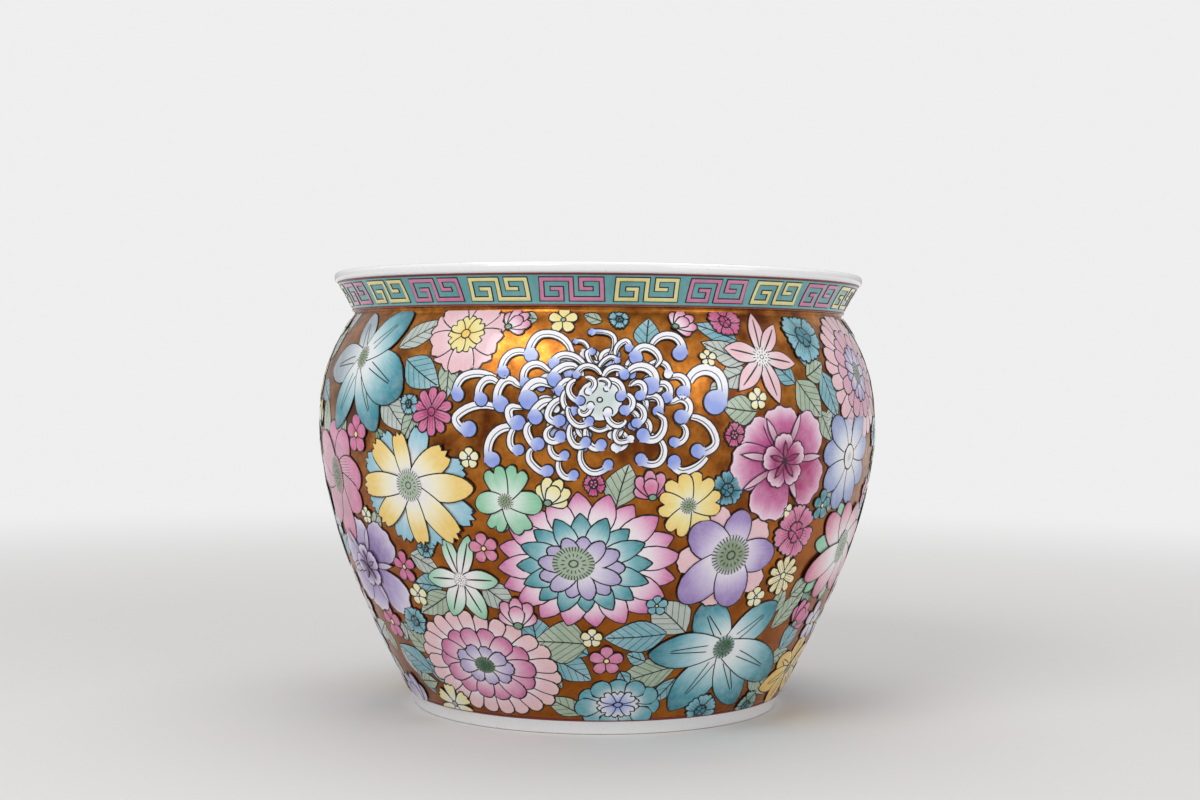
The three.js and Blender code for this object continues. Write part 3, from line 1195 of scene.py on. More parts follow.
RIGHT_CURLS = (
    ((-3, 19), (-7, 26), (-4, 27.5), 2.4), ((8.5, 26), (13.5, 34), (16, 29.5), 2.8),
    ((30, 33.5), (41.5, 37.5), (45, 27), 4.9), ((-1, 16.5), (5, 24), (10, 22), 2.0),
    ((2, 13), (8, 18), (13.5, 14), 3.4), ((2.5, 10), (10, 9.5), (11.5, 2), 3.4),
    ((15, 3), (18, -2), (13.5, -5.5), 3.4), ((17, 17), (28, 17), (27.5, 8), 5.5),
    ((27, 19.5), (35.5, 21), (38, 14.5), 3.0), ((41.5, 13.5), (48, 11), (46.5, 4.5), 4.3),
    ((19, 9), (24, 8), (22, 2.5), 3.4), ((32, 8.5), (38, 8), (37, 1.5), 3.7),
    ((27.5, 2), (33, 0.5), (32, -6), 3.4), ((42, -0.5), (50, -2), (45.5, -9), 4.6),
    ((50, 10), (66, 16), (66, -1), 7.5), ((51, -9), (66.5, -21.5), (55.5, -28), 4.6),
    ((61, -31.5), (48, -39.5), (42, -34), 4.4), ((33, -21.5), (34, -33.5), (23, -32.5), 3.9),
    ((35.5, -10), (32.5, -20.5), (24, -19), 4.3), ((20, -2.5), (24.5, -8), (20, -12.5), 3.2),
    ((47, -14), (48, -20.5), (41.5, -23), 3.4), ((-8, 12), (-3, 9.5), (-6.5, 4.5), 2.4),
    ((14, -11.5), (8, -13.5), (4.5, -6.5), 3.0), ((-1, 11), (4.5, 10), (3.5, 6), 1.8),
)
WHITE_HEADS = {(17.5, -21), (38, 14.5), (-6.5, 4.5), (4.5, -6.5), (3.5, 6), (-5, -3), (5.5, -14.5)}


def filling_curls(count, reach, size):
    """A ring of curls that show between the others, mirrored on the left and the right."""
    made = []
    for index in range(count):
        angle = math.radians(90 + (index + 0.5) * 360 / count)
        outward = Vector((math.cos(angle), math.sin(angle)))
        hand = 1 if outward.x < 0 else -1
        aside = turned_by(outward, -90 * hand)
        head = Vector((outward.x * reach * 1.25, outward.y * reach))
        crest = head + aside * size * 1.9 - outward * size * 0.2
        root = head + aside * size * 1.8 - outward * size * 2.2
        made.append((root, crest, (head.x, head.y), size, hand))
    return made


def curled_chrysanthemum(azimuth, level):
    """Strap petals that roll up at their ends, the inner ones over the roots of the outer ones."""
    spray = Spray("curled_chrysanthemum", azimuth, level)
    curls = [(*places, 1) for places in LEFT_CURLS] + [(*places, -1) for places in RIGHT_CURLS]
    curls.sort(key=lambda made: -Vector(made[2]).length)
    curls = filling_curls(12, 27, 3.2) + filling_curls(12, 20, 2.8) + curls
    for index, (root, crest, head, size, hand) in enumerate(curls):
        if index == len(curls) - INNER_CURLS:
            disc(spray, 13, 12, [(0.80, 0.85, 0.84), (0.80, 0.85, 0.84), CURL_WHITE],
                 plain_enamel, layer=2 + index * CURL_STEP, grid=8)
        tip = CURL_WHITE if head in WHITE_HEADS or index % 3 == 0 and index < 24 else PERIWINKLE
        curl(spray, root, crest, head, size, hand, tip, CURL_LAYER + index * CURL_STEP)
    spray.layer = 2.2 + len(curls) * CURL_STEP
    disc(spray, 1.9, 1.7, [WHITE, CURL_PALE], plain_enamel, grid=5)
    return spray.finish()


# ------------------------------------------------
# Where the flowers lie on one side of the pot: azimuth in degrees, level and sizes in
# millimetres, petal angles from the right, anticlockwise
# ------------------------------------------------

TEAL_WASH = [WHITE, (0.91, 0.94, 0.95), (0.62, 0.80, 0.83), (0.30, 0.62, 0.68), (0.13, 0.47, 0.53)]
TEAL_FRILL = [TEAL, TEAL_MILKY, SKY]
TEAL_KNOT = [TEAL, SKY, TEAL_MILKY]
PINK_KNOT = [PINK, ROSE, PINK]
ROSE_WASH = [ROSE, PINK, PINK]
SMOKE_WASH = [WHITE, (0.80, 0.84, 0.86), SMOKE, SMOKE]
PINK_WASH = [WHITE, (0.95, 0.84, 0.89), PINK]
BLUSH_WASH = [(0.97, 0.94, 0.94), BLUSH, (0.93, 0.78, 0.80)]
CREAM_WASH = [WHITE, CREAM, PALE_YELLOW]
SKY_WASH = [WHITE, WHITE, (0.70, 0.84, 0.89), SKY]
MINT_WASH = [WHITE, (0.84, 0.92, 0.87), (0.66, 0.84, 0.73), MINT]
VIOLET_WASH = [WHITE, WHITE, (0.84, 0.79, 0.90), (0.69, 0.60, 0.80), (0.60, 0.50, 0.73)]
LAVENDER_WASH = [WHITE, (0.90, 0.88, 0.93), (0.79, 0.75, 0.87), (0.69, 0.63, 0.80)]
GREY_BLUE_WASH = [WHITE, (0.84, 0.87, 0.93), (0.64, 0.69, 0.84), (0.55, 0.61, 0.80)]
PERIWINKLE_WASH = [WHITE, (0.70, 0.75, 0.89), (0.56, 0.62, 0.83)]
PEONY_WASH = [(0.64, 0.10, 0.40), (0.71, 0.23, 0.51), (0.81, 0.45, 0.66), (0.95, 0.88, 0.92)]
PEONY_DEEP = [(0.60, 0.07, 0.34), (0.66, 0.12, 0.40), (0.75, 0.28, 0.53), (0.92, 0.76, 0.85)]
PLUM_WASH = [(0.54, 0.42, 0.66), (0.64, 0.54, 0.76), (0.74, 0.68, 0.84), (0.90, 0.88, 0.93)]
PLUM_DEEP = [(0.40, 0.28, 0.54), (0.50, 0.40, 0.64), (0.66, 0.58, 0.78), (0.86, 0.83, 0.90)]


def upper_flowers():
    open_flower(
        "teal_clematis_upper", -53.7, 221, "blunt",
        [
            (117, 34, 9, "clematis", SMOKE_WASH), (-173, 46, 13, "clematis", SMOKE_WASH),
            (-117, 51, 11, "clematis"), (-65, 50, 12), (-23, 50, 16),
            (41, 43, 13),
        ],
        TEAL_WASH, ticked_heart(5.5, 7.5, STAMEN), veined_enamel
    )
    layered_flower(
        "pink_cosmos", -26.7, 234.5,
        [
            (10, 25.5, 25.5, 8.6, "notched", BLUSH_WASH, 0.2, (0, 0)),
            (7, 12.3, 12.3, 5.2, "heart", [YELLOW, PALE_YELLOW, PALE_YELLOW], 0.15, (0, 0)),
        ],
        lambda spray: disc(spray, 3.2, 3.2, [YELLOW] * 2, plain_enamel, grid=5),
    )
    bud("pink_bud_upper_left", -16.1, 242, 8.5, PINK_WASH, 40)
    blossom("yellow_blossom_neck", -6.8, 242.5, 9, [PALE_YELLOW, PALE_YELLOW, CREAM], middle=SAGE)
    ruffle("teal_ruffle_neck", 4.3, 243, 6.5, TEAL_KNOT)
    bud("pink_bud_upper_right", 17.4, 242, 8.5, PINK_WASH, 30)
    ruffle("rose_ruffle_neck", 26.6, 242.5, 10.5, [ROSE, PINK, ROSE])
    yellow_blossom("upper", 21.1, 222, 5.8, 0.7)
    open_flower(
        "pink_star", 33, 222.7, "pointed",
        [
            (87, 30, 5.4), (49, 28, 5.4), (-6, 26, 6),
            (-75, 29, 6.2), (-131, 28, 6.2), (165, 25, 6.8),
        ],
        [WHITE, BLUSH, BLUSH], ticked_heart(6, 6, WHITE, WHITE), slit_enamel,
    )
    ruffle("teal_dianthus", 46.5, 235, 17, TEAL_FRILL, tall=0.95, count=7)
    layered_flower(
        "layered_pink_flower", 64.4, 214,
        [
            (24, 40, 41, 5.5, "strap", BLUSH_WASH, 0.45, (0, 0)),
            (16, 27, 29, 5.6, "strap", [(0.88, 0.66, 0.74), (0.88, 0.70, 0.77)], 0.4, (0, 0)),
            (14, 16, 18, 3.7, "strap", LAVENDER_WASH, 0.1, (0, 0)),
        ],
        ticked_heart(6, 7.5, STAMEN, LAVENDER),
    )
    ruffle("teal_ruffle_upper", -37.1, 194.6, 7.2, TEAL_KNOT)
    daisy("rose_daisy", -31.6, 190.5, 14.5, [MAGENTA, PINK, PINK])
    blossom("rose_blossom_left", -52.7, 175.7, 11, ROSE_WASH, tall=1.1, plump=0.75)
    curled_chrysanthemum(0.5, 198.3)
    yellow_blossom("shoulder", 30.8, 199.2, 7, 0.7)
    ruffle("pink_ruffle_right", 25.6, 179.1, 7.2, PINK_KNOT)


def middle_flowers():
    open_flower(
        "pink_anemone", -63.5, 150, "round",
        [
            (92, 34, 11), (50, 34, 11, "wide"), (5, 34, 12, "wide"),
            (-38, 34, 11), (-86, 43, 12), (-130, 38, 12, "wide"),
            (176, 36, 12), (134, 36, 12, "wide"),
        ],
        [BLUSH, (0.88, 0.64, 0.74), PINK], ticked_heart(9, 12, OLIVE, BLUSH), pleated_enamel,
    )
    open_flower(
        "yellow_and_blue_flower", -37.6, 148.1, "jagged",
        [
            (144, 38, 8), (100, 32, 6.4), (38, 37, 8.8),
            (-3, 45, 9, "blunt"), (-43, 44, 9), (-86, 37, 7.2),
            (-137, 38, 8), (180, 41, 8),
        ],
        [WHITE, WHITE, (0.97, 0.94, 0.80), (0.95, 0.84, 0.50), YELLOW],
        ticked_heart(9.5, 9.5, SAGE), plain_enamel, "jagged", SKY_WASH,
        [
            (124, 37, 7), (71, 37, 7.8),
            (17, 43, 8), (-24, 47, 8.5),
            (-64, 40, 9), (-110, 38, 9),
            (-158, 41, 8), (160, 41, 8),
        ],
    )
    yellow_blossom("belly", -23.7, 165, 7)
    open_flower(
        "mint_blossom", -16.9, 141.3, "heart",
        [
            (-112, 20, 6.2), (-62, 22, 6.8, "notched"), (-1, 22, 7.2, "round"),
            (62, 22, 7.4), (113, 21, 7.4), (-175, 19, 7, "wide"),
        ],
        MINT_WASH, ticked_heart(4.6, 4.6, STAMEN),
    )
    bud("yellow_bud", -7.7, 147, 9.5, CREAM_WASH, 60)
    ruffle("pink_ruffle_belly", -0.5, 151.8, 7, PINK_KNOT)
    bud("pink_bud_belly", 9.9, 151.4, 9.5, [PINK, PINK, (0.88, 0.66, 0.77)], 100)
    open_flower(
        "yellow_wild_rose", 17.2, 139.5, "heart",
        [
            (-52, 19, 7.6), (3, 21, 8), (65, 21, 9.2),
            (116, 20, 9), (179, 18.5, 8), (-116, 19, 8),
        ],
        [WHITE, PALE_YELLOW, YELLOW], ticked_heart(4.8, 4.8, STAMEN),
    )
    ruffle("teal_rose", 24.8, 148.2, 10.5, [TEAL, TEAL, SKY])
    peony(
        "magenta_peony", 37, 163.7,
        [(147, 35, 13), (96, 33, 14), (-27, 39, 16), (36, 37, 15), (-172, 38, 15),
         (-108, 37, 16)],
        [(66, 31), (120, 29), (4, 33), (-60, 27), (-150, 33), (172, 32)],
        17, PEONY_WASH, PEONY_DEEP,
    )
    layered_flower(
        "periwinkle_flower", 58.3, 164,
        [(9, 31, 33, 9, "round", GREY_BLUE_WASH, 0.22, (0, 0))],
        lambda spray: disc(spray, 6.5, 8, [SMOKE, WHITE, WHITE], plain_enamel, grid=7),
    )
    blossom("teal_blossom_right", 50.3, 136, 9, [TEAL_MILKY, TEAL, TEAL_MILKY], tall=1.15)
    yellow_blossom("peony", 39, 135.3, 6.2)
    yellow_blossom("left", -53, 127.5, 6)


def lower_flowers():
    peony(
        "plum_peony", -58.2, 95.7,
        [(164, 34, 14), (94, 32, 13), (37, 41, 14.5), (-38, 41, 14.5), (-98, 32, 13),
         (-148, 34, 14)],
        [(66, 29), (4, 30), (-66, 27), (128, 29), (-170, 27)],
        15, PLUM_WASH, PLUM_DEEP,
    )
    blossom("rose_blossom_lower", -43.8, 98.5, 9.5, ROSE_WASH, tall=1.15, plump=0.62)
    ruffle("teal_ruffle_lower", -36.3, 111.6, 7.5, TEAL_FRILL)
    open_flower(
        "mint_clematis", -28.9, 94, "clematis",
        [
            (107, 28, 5.4, "blunt"), (67, 30, 5.6), (-63, 28, 7.4),
            (-117, 27, 7.2), (4, 25, 6.6), (178, 24, 6.8),
        ],
        [WHITE, WHITE, (0.76, 0.89, 0.81), (0.56, 0.79, 0.66)], ticked_heart(4.5, 4.5, WHITE), slit_enamel,
    )
    blossom("pink_blossom_left", -22.3, 113.5, 10, [PINK, (0.87, 0.58, 0.68), PINK], turn=100)
    yellow_blossom("lower", -41.8, 82, 7.8)
    blossom("rose_blossom_foot", -56.9, 60.9, 11, ROSE_WASH, tall=1.15)
    ruffle("teal_ruffle_foot", -46.1, 64.8, 11, TEAL_FRILL, tall=0.85)
    layered_flower(
        "layered_rose_daisy", -27.7, 42.1,
        [
            (24, 47, 36, 5.5, "strap", [WHITE, BLUSH, (0.93, 0.80, 0.79)], 0.6, (0, 0)),
            (14, 33, 25.5, 6.6, "strap", [WHITE, (0.90, 0.68, 0.79), (0.79, 0.38, 0.60)], 0.4, (0, 0)),
            (9, 20, 14, 5.2, "wavy", LAVENDER_WASH, 0.15, (0, 0)),
        ],
        ticked_heart(6.8, 5.6, DEEP_STAMEN, STAMEN), tilt=-9,
    )
    bud("lavender_bud_foot", -64, 15, 14, LAVENDER_WASH, 120)
    blossom("yellow_half_flower", -43.1, 13, 15, CREAM_WASH, "ruffled", 6, heart=0.16, middle=SAGE)
    bud("pink_bud_lower", -17, 76, 11, PINK_WASH, 90)
    teal_tip = [WHITE, (0.83, 0.91, 0.92), (0.42, 0.70, 0.74), (0.15, 0.52, 0.56)]
    pink_tip = [WHITE, WHITE, (0.95, 0.86, 0.91), (0.89, 0.63, 0.78), (0.80, 0.38, 0.62)]
    layered_flower(
        "lotus", -3.8, 105,
        [
            (20, 53, 42, 8.0, "scale", pink_tip, 0.45, (6, 1.5)),
            (16, 38.5, 31, 6.6, "scale", teal_tip, 0.3, (4, 0.5)),
            (13, 25, 20, 5.4, "wide", LAVENDER_WASH, 0.1, (3, -1.5)),
        ],
        ticked_heart(12, 10.2, SAGE, SAGE, (-1.5, 1.5)),
    )
    open_flower(
        "violet_anemone", 27.5, 110.2, "wide",
        [
            (85, 28, 9.5), (-5, 32, 11), (151, 33, 11.5),
            (-137, 39, 12.5), (-76, 34, 11.5),
        ],
        VIOLET_WASH, ticked_heart(12.2, 12.2, STAMEN, (0.88, 0.86, 0.92)),
        plain_enamel, "wavy", BLUSH_WASH,
        [
            (120, 33, 9.5), (38, 30, 9.5),
            (-41, 34, 9), (-107, 34, 9),
            (-174, 34, 9),
        ],
    )
    ruffle("rose_dianthus", 43.3, 121.6, 16, [ROSE, PINK, (0.85, 0.60, 0.71)], tall=1.15, count=7)
    daisy("yellow_daisy", 43, 95.2, 12.5, [CREAM, (0.95, 0.91, 0.74), (0.95, 0.88, 0.68)], tall=1.05)
    yellow_blossom("clematis", 36.5, 83.4, 7.4)
    open_flower(
        "rose_tipped_cosmos", 64.8, 108, "wide",
        [
            (150, 39, 9.5), (105, 31, 9.5), (60, 32, 9.5),
            (15, 34, 9.5), (-30, 34, 9.5), (-72, 32, 9.5),
            (-118, 37, 9.5), (-160, 43, 9.5),
        ],
        [WHITE, WHITE, (0.92, 0.74, 0.79), (0.80, 0.36, 0.53)], ticked_heart(8.5, 11, SAGE),
        plain_enamel, "blunt", MINT_WASH,
        [
            (172, 39, 7), (126, 36, 7), (-139, 42, 7),
            (-95, 36, 7), (38, 36, 7),
        ],
    )
    open_flower(
        "teal_clematis_lower", 31.5, 53.6, "clematis",
        [
            (129, 38, 12.5, "wide"), (36, 44, 12), (-115, 50, 14),
            (-65, 50, 12, "blunt"), (-23, 56, 13.5, "wide"), (180, 48, 12.5),
        ],
        TEAL_WASH, ticked_heart(7.4, 7.8, DEEP_STAMEN, (0.75, 0.84, 0.84)), veined_enamel,
    )
    blossom("teal_blossom_lotus", 12.9, 81.4, 7, [TEAL_MILKY, TEAL_MILKY, SKY], plump=0.7)
    yellow_blossom("lotus", -0.7, 61.8, 7)
    blossom("pink_blossom_foot", 2.7, 47.9, 10.5, [PINK, (0.87, 0.58, 0.70), PINK])
    layered_flower(
        "teal_flower_foot", 6.1, 20,
        [
            (11, 26, 18.5, 7.4, "round", [WHITE, TEAL_MILKY, (0.38, 0.66, 0.71)], 0.4, (0, 0)),
            (8, 13.2, 10, 4.4, "heart", [PERIWINKLE, (0.80, 0.83, 0.93), WHITE], 0.15, (0, 0)),
        ],
        lambda spray: disc(spray, 3.2, 2.2, [PERIWINKLE] * 2, plain_enamel, grid=5),
    )
    ruffle("teal_rose_foot", 30.6, 13.4, 11.5, TEAL_FRILL)
    ruffle("teal_ruffle_foot_right", 48.3, 12, 10, [TEAL, DEEP_LEAF, SKY])
    open_flower(
        "golden_clematis", 65, 30, "clematis",
        [
            (90, 28, 9), (150, 26, 8, "blunt"), (-160, 32, 9),
            (-110, 28, 9), (30, 28, 9, "blunt"), (-40, 30, 9),
        ],
        [PALE_YELLOW, YELLOW, (0.90, 0.74, 0.36)], ticked_heart(4, 4.5, STAMEN), veined_enamel,
    )
    bud("rose_bud_right", 56, 68.3, 10.5, ROSE_WASH, 50)
    blossom("lavender_blossom_right", 65.3, 61, 12.5, LAVENDER_WASH, tall=1.2)


def side_flowers():
    """The flowers between the front and the back, on the right."""
    layered_flower(
        "cream_chrysanthemum", 91, 207,
        [
            (18, 38, 39, 6.6, "strap", [WHITE, CREAM, PALE_YELLOW], 0.4, (0, 0)),
            (13, 26, 27, 6, "strap", [WHITE, PALE_YELLOW, YELLOW], 0.3, (0, 0)),
            (9, 15, 15, 4.6, "strap", MINT_WASH, 0.1, (0, 0)),
        ],
        ticked_heart(5.5, 5.5, SAGE),
    )
    open_flower(
        "rose_mallow", 92, 120, "wide",
        [
            (90, 38, 17), (18, 40, 17), (-54, 38, 17),
            (-126, 40, 17), (162, 38, 17),
        ],
        [WHITE, PINK_WASH[1], PINK], ticked_heart(9, 9, STAMEN),
        veined_enamel, "pointed", MINT_WASH,
        [
            (54, 34, 8), (-18, 36, 8),
            (-90, 34, 8), (-162, 36, 8),
            (126, 34, 8),
        ],
    )
    layered_flower(
        "periwinkle_lotus", 94, 49,
        [
            (16, 35, 33, 7.4, "scale", PERIWINKLE_WASH, 0.4, (0, 0)),
            (12, 22, 21, 6, "scale", PINK_WASH, 0.3, (0, 0)),
        ],
        ticked_heart(9, 8.5, STAMEN),
    )
    open_flower(
        "mint_windflower", 84, 163.5, "heart",
        [
            (80, 21, 7), (20, 22, 7), (-40, 21, 7),
            (-100, 20, 7), (-160, 22, 7), (140, 21, 7),
        ],
        MINT_WASH, ticked_heart(4.8, 4.8, STAMEN),
    )
    daisy("violet_daisy", 97.5, 168, 15, [VIOLET, LAVENDER, LAVENDER], count=11)
    ruffle("teal_ruffle_side", 75.5, 178, 10, TEAL_FRILL)
    ruffle("rose_ruffle_side", 79.5, 78, 12, ROSE_WASH)
    bud("yellow_bud_side", 105, 187, 10, CREAM_WASH, 110)
    bud("pink_bud_side", 79, 243, 9, PINK_WASH, 60)
    ruffle("teal_ruffle_side_neck", 93, 244, 7, TEAL_KNOT)
    blossom("yellow_blossom_side_neck", 103.5, 241, 9, CREAM_WASH)
    blossom("rose_blossom_side", 74, 140, 9.5, ROSE_WASH)
    yellow_blossom("side", 78.5, 146, 6.5)
    blossom("sky_blossom_side", 107.5, 118, 9.5, SKY_WASH)
    blossom("pink_blossom_side", 108, 66, 11, PINK_WASH)
    blossom("lavender_blossom_side", 104.5, 82, 8.5, LAVENDER_WASH)
    daisy("yellow_daisy_side", 80.5, 19, 13, [PALE_YELLOW, YELLOW, YELLOW], tall=0.9)
    ruffle("teal_ruffle_side_foot", 104, 14, 10, TEAL_FRILL, tall=0.85)
    leaves("leaves_side", [
        (80, 232, 160, 22, 6, TEAL_LEAF), (80.5, 186, -100, 22, 6.4, SAGE),
        (104, 220, 60, 24, 6.4, SAGE), (105.5, 206, -30, 22, 6, TEAL_LEAF),
        (92, 168, -90, 18, 5.4, GREY_LEAF), (102, 160, -60, 20, 6, SAGE),
        (91, 243, 30, 20, 5, SAGE), (86, 242, 150, 14, 4.6, GREY_LEAF),
        (79, 124, 160, 18, 5.4, TEAL_LEAF), (80, 96, -140, 20, 6, SAGE),
        (104, 100, 30, 24, 6.4, TEAL_LEAF), (86, 82, -60, 18, 5.4, GREY_LEAF),
        (97, 84, 40, 16, 5, DEEP_LEAF), (80, 52, 160, 22, 6.4, SAGE),
        (80, 45, -120, 20, 5.8, TEAL_LEAF), (107, 48, 20, 24, 6.4, GREY_LEAF),
        (106, 36, -60, 22, 6, SAGE), (90, 15, 20, 22, 5.4, TEAL_LEAF),
        (95, 14, 170, 20, 5, SAGE), (73, 196, -60, 16, 5, SAGE),
    ])


def leaf_sprays():
    leaves("leaves_upper_left", [
        (-43, 226.7, 35, 33, 6.4, GREY_LEAF), (-39.6, 220, -34, 29, 8.2, TEAL_LEAF),
        (-29.2, 223.5, -82, 25, 5.6, SAGE), (-44.4, 200, -50, 27, 8, GREY_LEAF),
        (-35, 193.3, -116, 22, 5.2, SAGE), (-20.5, 243, 150, 16, 5, SAGE),
        (-70, 236, 100, 24, 6, GREY_LEAF), (-68, 196, -100, 26, 7.5, SAGE),
        (-57, 184, -140, 23, 6, SAGE), (-46, 180, -60, 18, 5, DEEP_LEAF),
        (-61, 196, -80, 20, 6, GREY_LEAF), (-12, 243, 170, 12, 4, SAGE),
    ])
    leaves("leaves_upper_right", [
        (9.3, 226.5, 86, 18.5, 6.2, TEAL_LEAF), (28.3, 232, 153, 25, 5.4, TEAL_LEAF),
        (29.3, 220, 160, 26, 6.2, GREY_LEAF), (29.4, 215, -164, 20, 6.2, GREY_LEAF),
        (46.5, 214.8, 95, 21, 7.6, TEAL_LEAF), (49, 214.8, -71, 27, 7.8, TEAL_LEAF),
        (40.5, 208, 143, 18, 5.4, TEAL_LEAF), (41, 209.5, -52, 26, 8.6, SAGE),
        (30.5, 192, 177, 21, 7, SAGE),
        (47, 192, -60, 20, 6, SAGE), (1, 242, 160, 11, 3.4, SAGE),
        (44, 212, 20, 18, 6.2, SAGE), (52, 196, -110, 18, 5.4, GREY_LEAF),
        (24, 209, -130, 14, 4.6, GREY_LEAF),
    ])
    leaves("leaves_lower_left", [
        (-41.3, 106.5, -21, 21, 6, GREY_LEAF), (-34.2, 88, 173, 20, 6.2, TEAL_LEAF),
        (-32.4, 85, -146, 29, 6.8, SAGE), (-24, 91.5, -43, 21, 7.4, GREY_LEAF),
        (-45.2, 45.6, 139, 22, 7.2, SAGE), (-47.4, 31.5, 147, 30, 7.4, TEAL_LEAF),
        (-49.2, 38.8, -25, 26, 7.2, TEAL_LEAF), (-13.3, 57.2, 92, 18, 8.2, TEAL_LEAF),
        (-52, 116, 60, 18, 5, SAGE), (-40, 120, 150, 14, 4.4, SAGE), (-20, 126, 20, 12, 4, SAGE),
        (-53, 50, 110, 18, 5.5, GREY_LEAF), (-55, 34, -60, 20, 5.5, TEAL_LEAF),
        (-59, 46, -70, 22, 5.8, GREY_LEAF), (-55, 24, 10, 16, 5, SAGE), (-63, 40, 110, 18, 5, SAGE),
    ])
    leaves("leaves_lower_middle", [
        (3.7, 139, 79, 23, 8, SAGE), (20.4, 64.5, 134, 28, 9.5, GREY_LEAF),
        (16.1, 63.9, -172, 33, 8.4, TEAL_LEAF), (19.8, 43.2, -165, 35, 8.6, SAGE),
        (20.5, 35.8, -120, 21, 4.6, TEAL_LEAF), (-1.7, 57.9, 174, 28, 11.5, SAGE),
        (-9.6, 48.4, -31, 23, 7.6, TEAL_LEAF), (-3.6, 12.8, 145, 22, 5.8, SAGE),
        (6, 41, -60, 11, 3.6, TEAL_LEAF), (-1.5, 51, 150, 11, 3.6, TEAL_LEAF),
        (12, 47, 160, 12, 4, TEAL_LEAF), (-12.5, 43, -60, 16, 5, SAGE),
        (13.5, 30, 200, 16, 4.5, TEAL_LEAF),
    ])
    leaves("leaves_lower_right", [
        (45.4, 61.5, 53, 32, 6.4, SAGE), (52.8, 46.3, 57, 24, 7.4, TEAL_LEAF),
        (43.7, 36.7, -36, 32, 7, SAGE), (57, 90, -110, 20, 5.4, DEEP_LEAF),
        (53, 150, -80, 18, 5, SAGE), (48, 82, 30, 17, 5, SAGE), (50, 40, 20, 18, 5.4, SAGE),
        (44, 72, 75, 16, 5, SAGE),
    ])


def one_side(turn, suffix, repaint):
    """All the flowers of one side, turned round the pot, with some colours swapped."""
    Spray.turn = turn
    Spray.suffix = suffix
    Spray.repaint = repaint
    leaf_sprays()
    side_flowers()
    upper_flowers()
    middle_flowers()
    lower_flowers()


def make_flowers():
    one_side(0, "", {})
    swapped = {
        TEAL: ROSE, TEAL_MILKY: PINK, ROSE: TEAL, PINK: TEAL_MILKY, MINT: LAVENDER,
        PERIWINKLE: MINT,
    }
    one_side(180, "_back", swapped)


# ------------------------------------------------
# Floor, lights and camera
# ------------------------------------------------

AMBIENT = 0.50               # light from the surround
BACKDROP = 0.86              # the surround as the eye sees it


def floor_finish():
    """Pale paint that turns into the surround's own brightness far from the pot."""
    made = Finish("pale_floor_paint", Roughness=0.9, Specular_IOR_Level=0.0, Emission_Strength=1.0)
    place = made.node("ShaderNodeTexCoord").outputs["Object"]
    across, deep, rise = made.parts(place)
    away = (across * across + deep * deep).power(0.5)
    near = away.below(1.0, 1.3)
    smooth = near * near * (3 - near * 2)
    pale = rgba((0.86, 0.855, 0.85))
    far = (BACKDROP, BACKDROP, BACKDROP, 1)
    made.colour(made.mixed(smooth, (0, 0, 0, 1), pale))
    made.feed(made.shader.inputs["Emission Color"], made.mixed(smooth, far, (0, 0, 0, 1)))
    return made.material


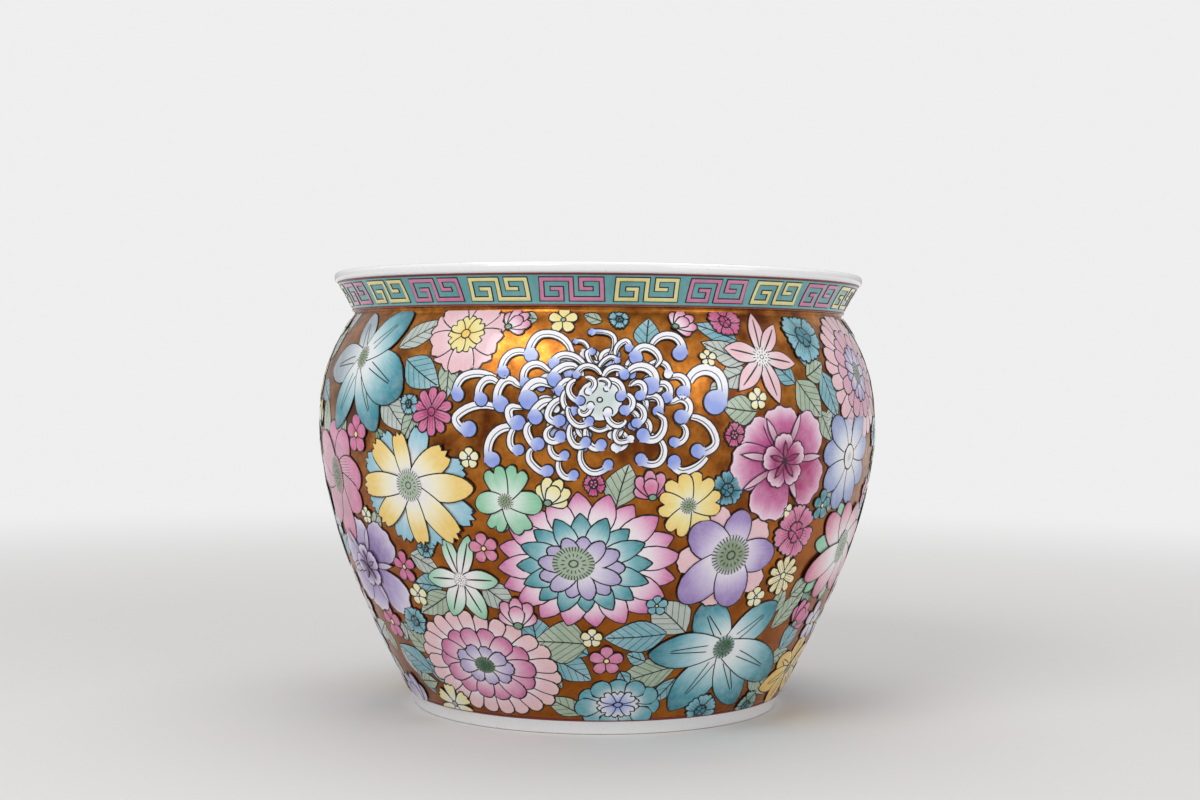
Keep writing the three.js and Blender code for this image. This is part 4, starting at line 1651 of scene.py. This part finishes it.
def make_stage():
    """A pale floor that runs out of sight and a pale surround for the eye and for reflections."""
    mesh = bmesh.new()
    bmesh.ops.create_grid(mesh, x_segments=1, y_segments=1, size=12)
    data = bpy.data.meshes.new("pale_floor")
    mesh.to_mesh(data)
    mesh.free()
    floor = bpy.data.objects.new("pale_floor", data)
    bpy.context.scene.collection.objects.link(floor)
    data.materials.append(floor_finish())

    world = bpy.data.worlds.new("studio")
    bpy.context.scene.world = world
    world.use_nodes = True
    tree = world.node_tree
    background = tree.nodes["Background"]
    background.inputs["Color"].default_value = (1, 1, 1, 1)
    path = tree.nodes.new("ShaderNodeLightPath")
    seen = graded(tree, path.outputs["Is Camera Ray"], AMBIENT, BACKDROP)
    direction = tree.nodes.new("ShaderNodeSeparateXYZ")
    tree.links.new(tree.nodes.new("ShaderNodeTexCoord").outputs["Generated"], direction.inputs[0])
    mirrored = graded(tree, direction.outputs["Z"], 0.42, 0.95, -0.05, 0.7)
    chosen = tree.nodes.new("ShaderNodeMix")
    tree.links.new(path.outputs["Is Glossy Ray"], chosen.inputs["Factor"])
    tree.links.new(seen, chosen.inputs[2])
    tree.links.new(mirrored, chosen.inputs[3])
    tree.links.new(chosen.outputs[0], background.inputs["Strength"])


def graded(tree, value, low, high, start=0.0, end=1.0):
    """A value's range, mapped to another one."""
    made = tree.nodes.new("ShaderNodeMapRange")
    tree.links.new(value, made.inputs["Value"])
    for socket, setting in (("From Min", start), ("From Max", end), ("To Min", low),
                            ("To Max", high)):
        made.inputs[socket].default_value = setting
    return made.outputs[0]


def softbox(name, place, aim, width, height, power):
    light = bpy.data.lights.new(name, "AREA")
    light.shape = "RECTANGLE"
    light.size = width
    light.size_y = height
    light.energy = power
    lamp = bpy.data.objects.new(name, light)
    bpy.context.scene.collection.objects.link(lamp)
    lamp.location = place
    lamp.rotation_euler = (Vector(aim) - Vector(place)).to_track_quat("-Z", "Y").to_euler()


def make_lights():
    middle = (0, 0, 0.15)
    softbox("key_softbox", (-0.9, -1.3, 1.5), middle, 1.0, 0.8, 16)
    softbox("fill_softbox", (1.3, -1.2, 0.8), middle, 1.2, 1.0, 7)
    softbox("top_softbox", (0.1, 0.5, 1.7), middle, 1.4, 1.0, 9)


CAMERA_PLACE = (1.68, -1164.7, 217.3)
CAMERA_PITCH = 1.10          # degrees down
CAMERA_ROLL = 0.46           # degrees, which lowers the right of the picture
LENS = 53.58                 # on a 36 mm wide sensor


def make_camera():
    data = bpy.data.cameras.new("camera")
    data.sensor_width = 36
    data.sensor_fit = "HORIZONTAL"
    data.lens = LENS
    data.clip_start = 0.05
    data.clip_end = 60
    camera = bpy.data.objects.new("camera", data)
    bpy.context.scene.collection.objects.link(camera)
    place = Matrix.Translation(Vector(CAMERA_PLACE) * MM)
    pitch = Matrix.Rotation(math.radians(90 - CAMERA_PITCH), 4, "X")
    roll = Matrix.Rotation(math.radians(CAMERA_ROLL), 4, "Z")
    camera.matrix_world = place @ pitch @ roll
    bpy.context.scene.camera = camera


make_camera()
make_body()
make_keys()
make_flowers()
make_stage()
make_lights()
bpy.context.scene.view_settings.view_transform = "Standard"
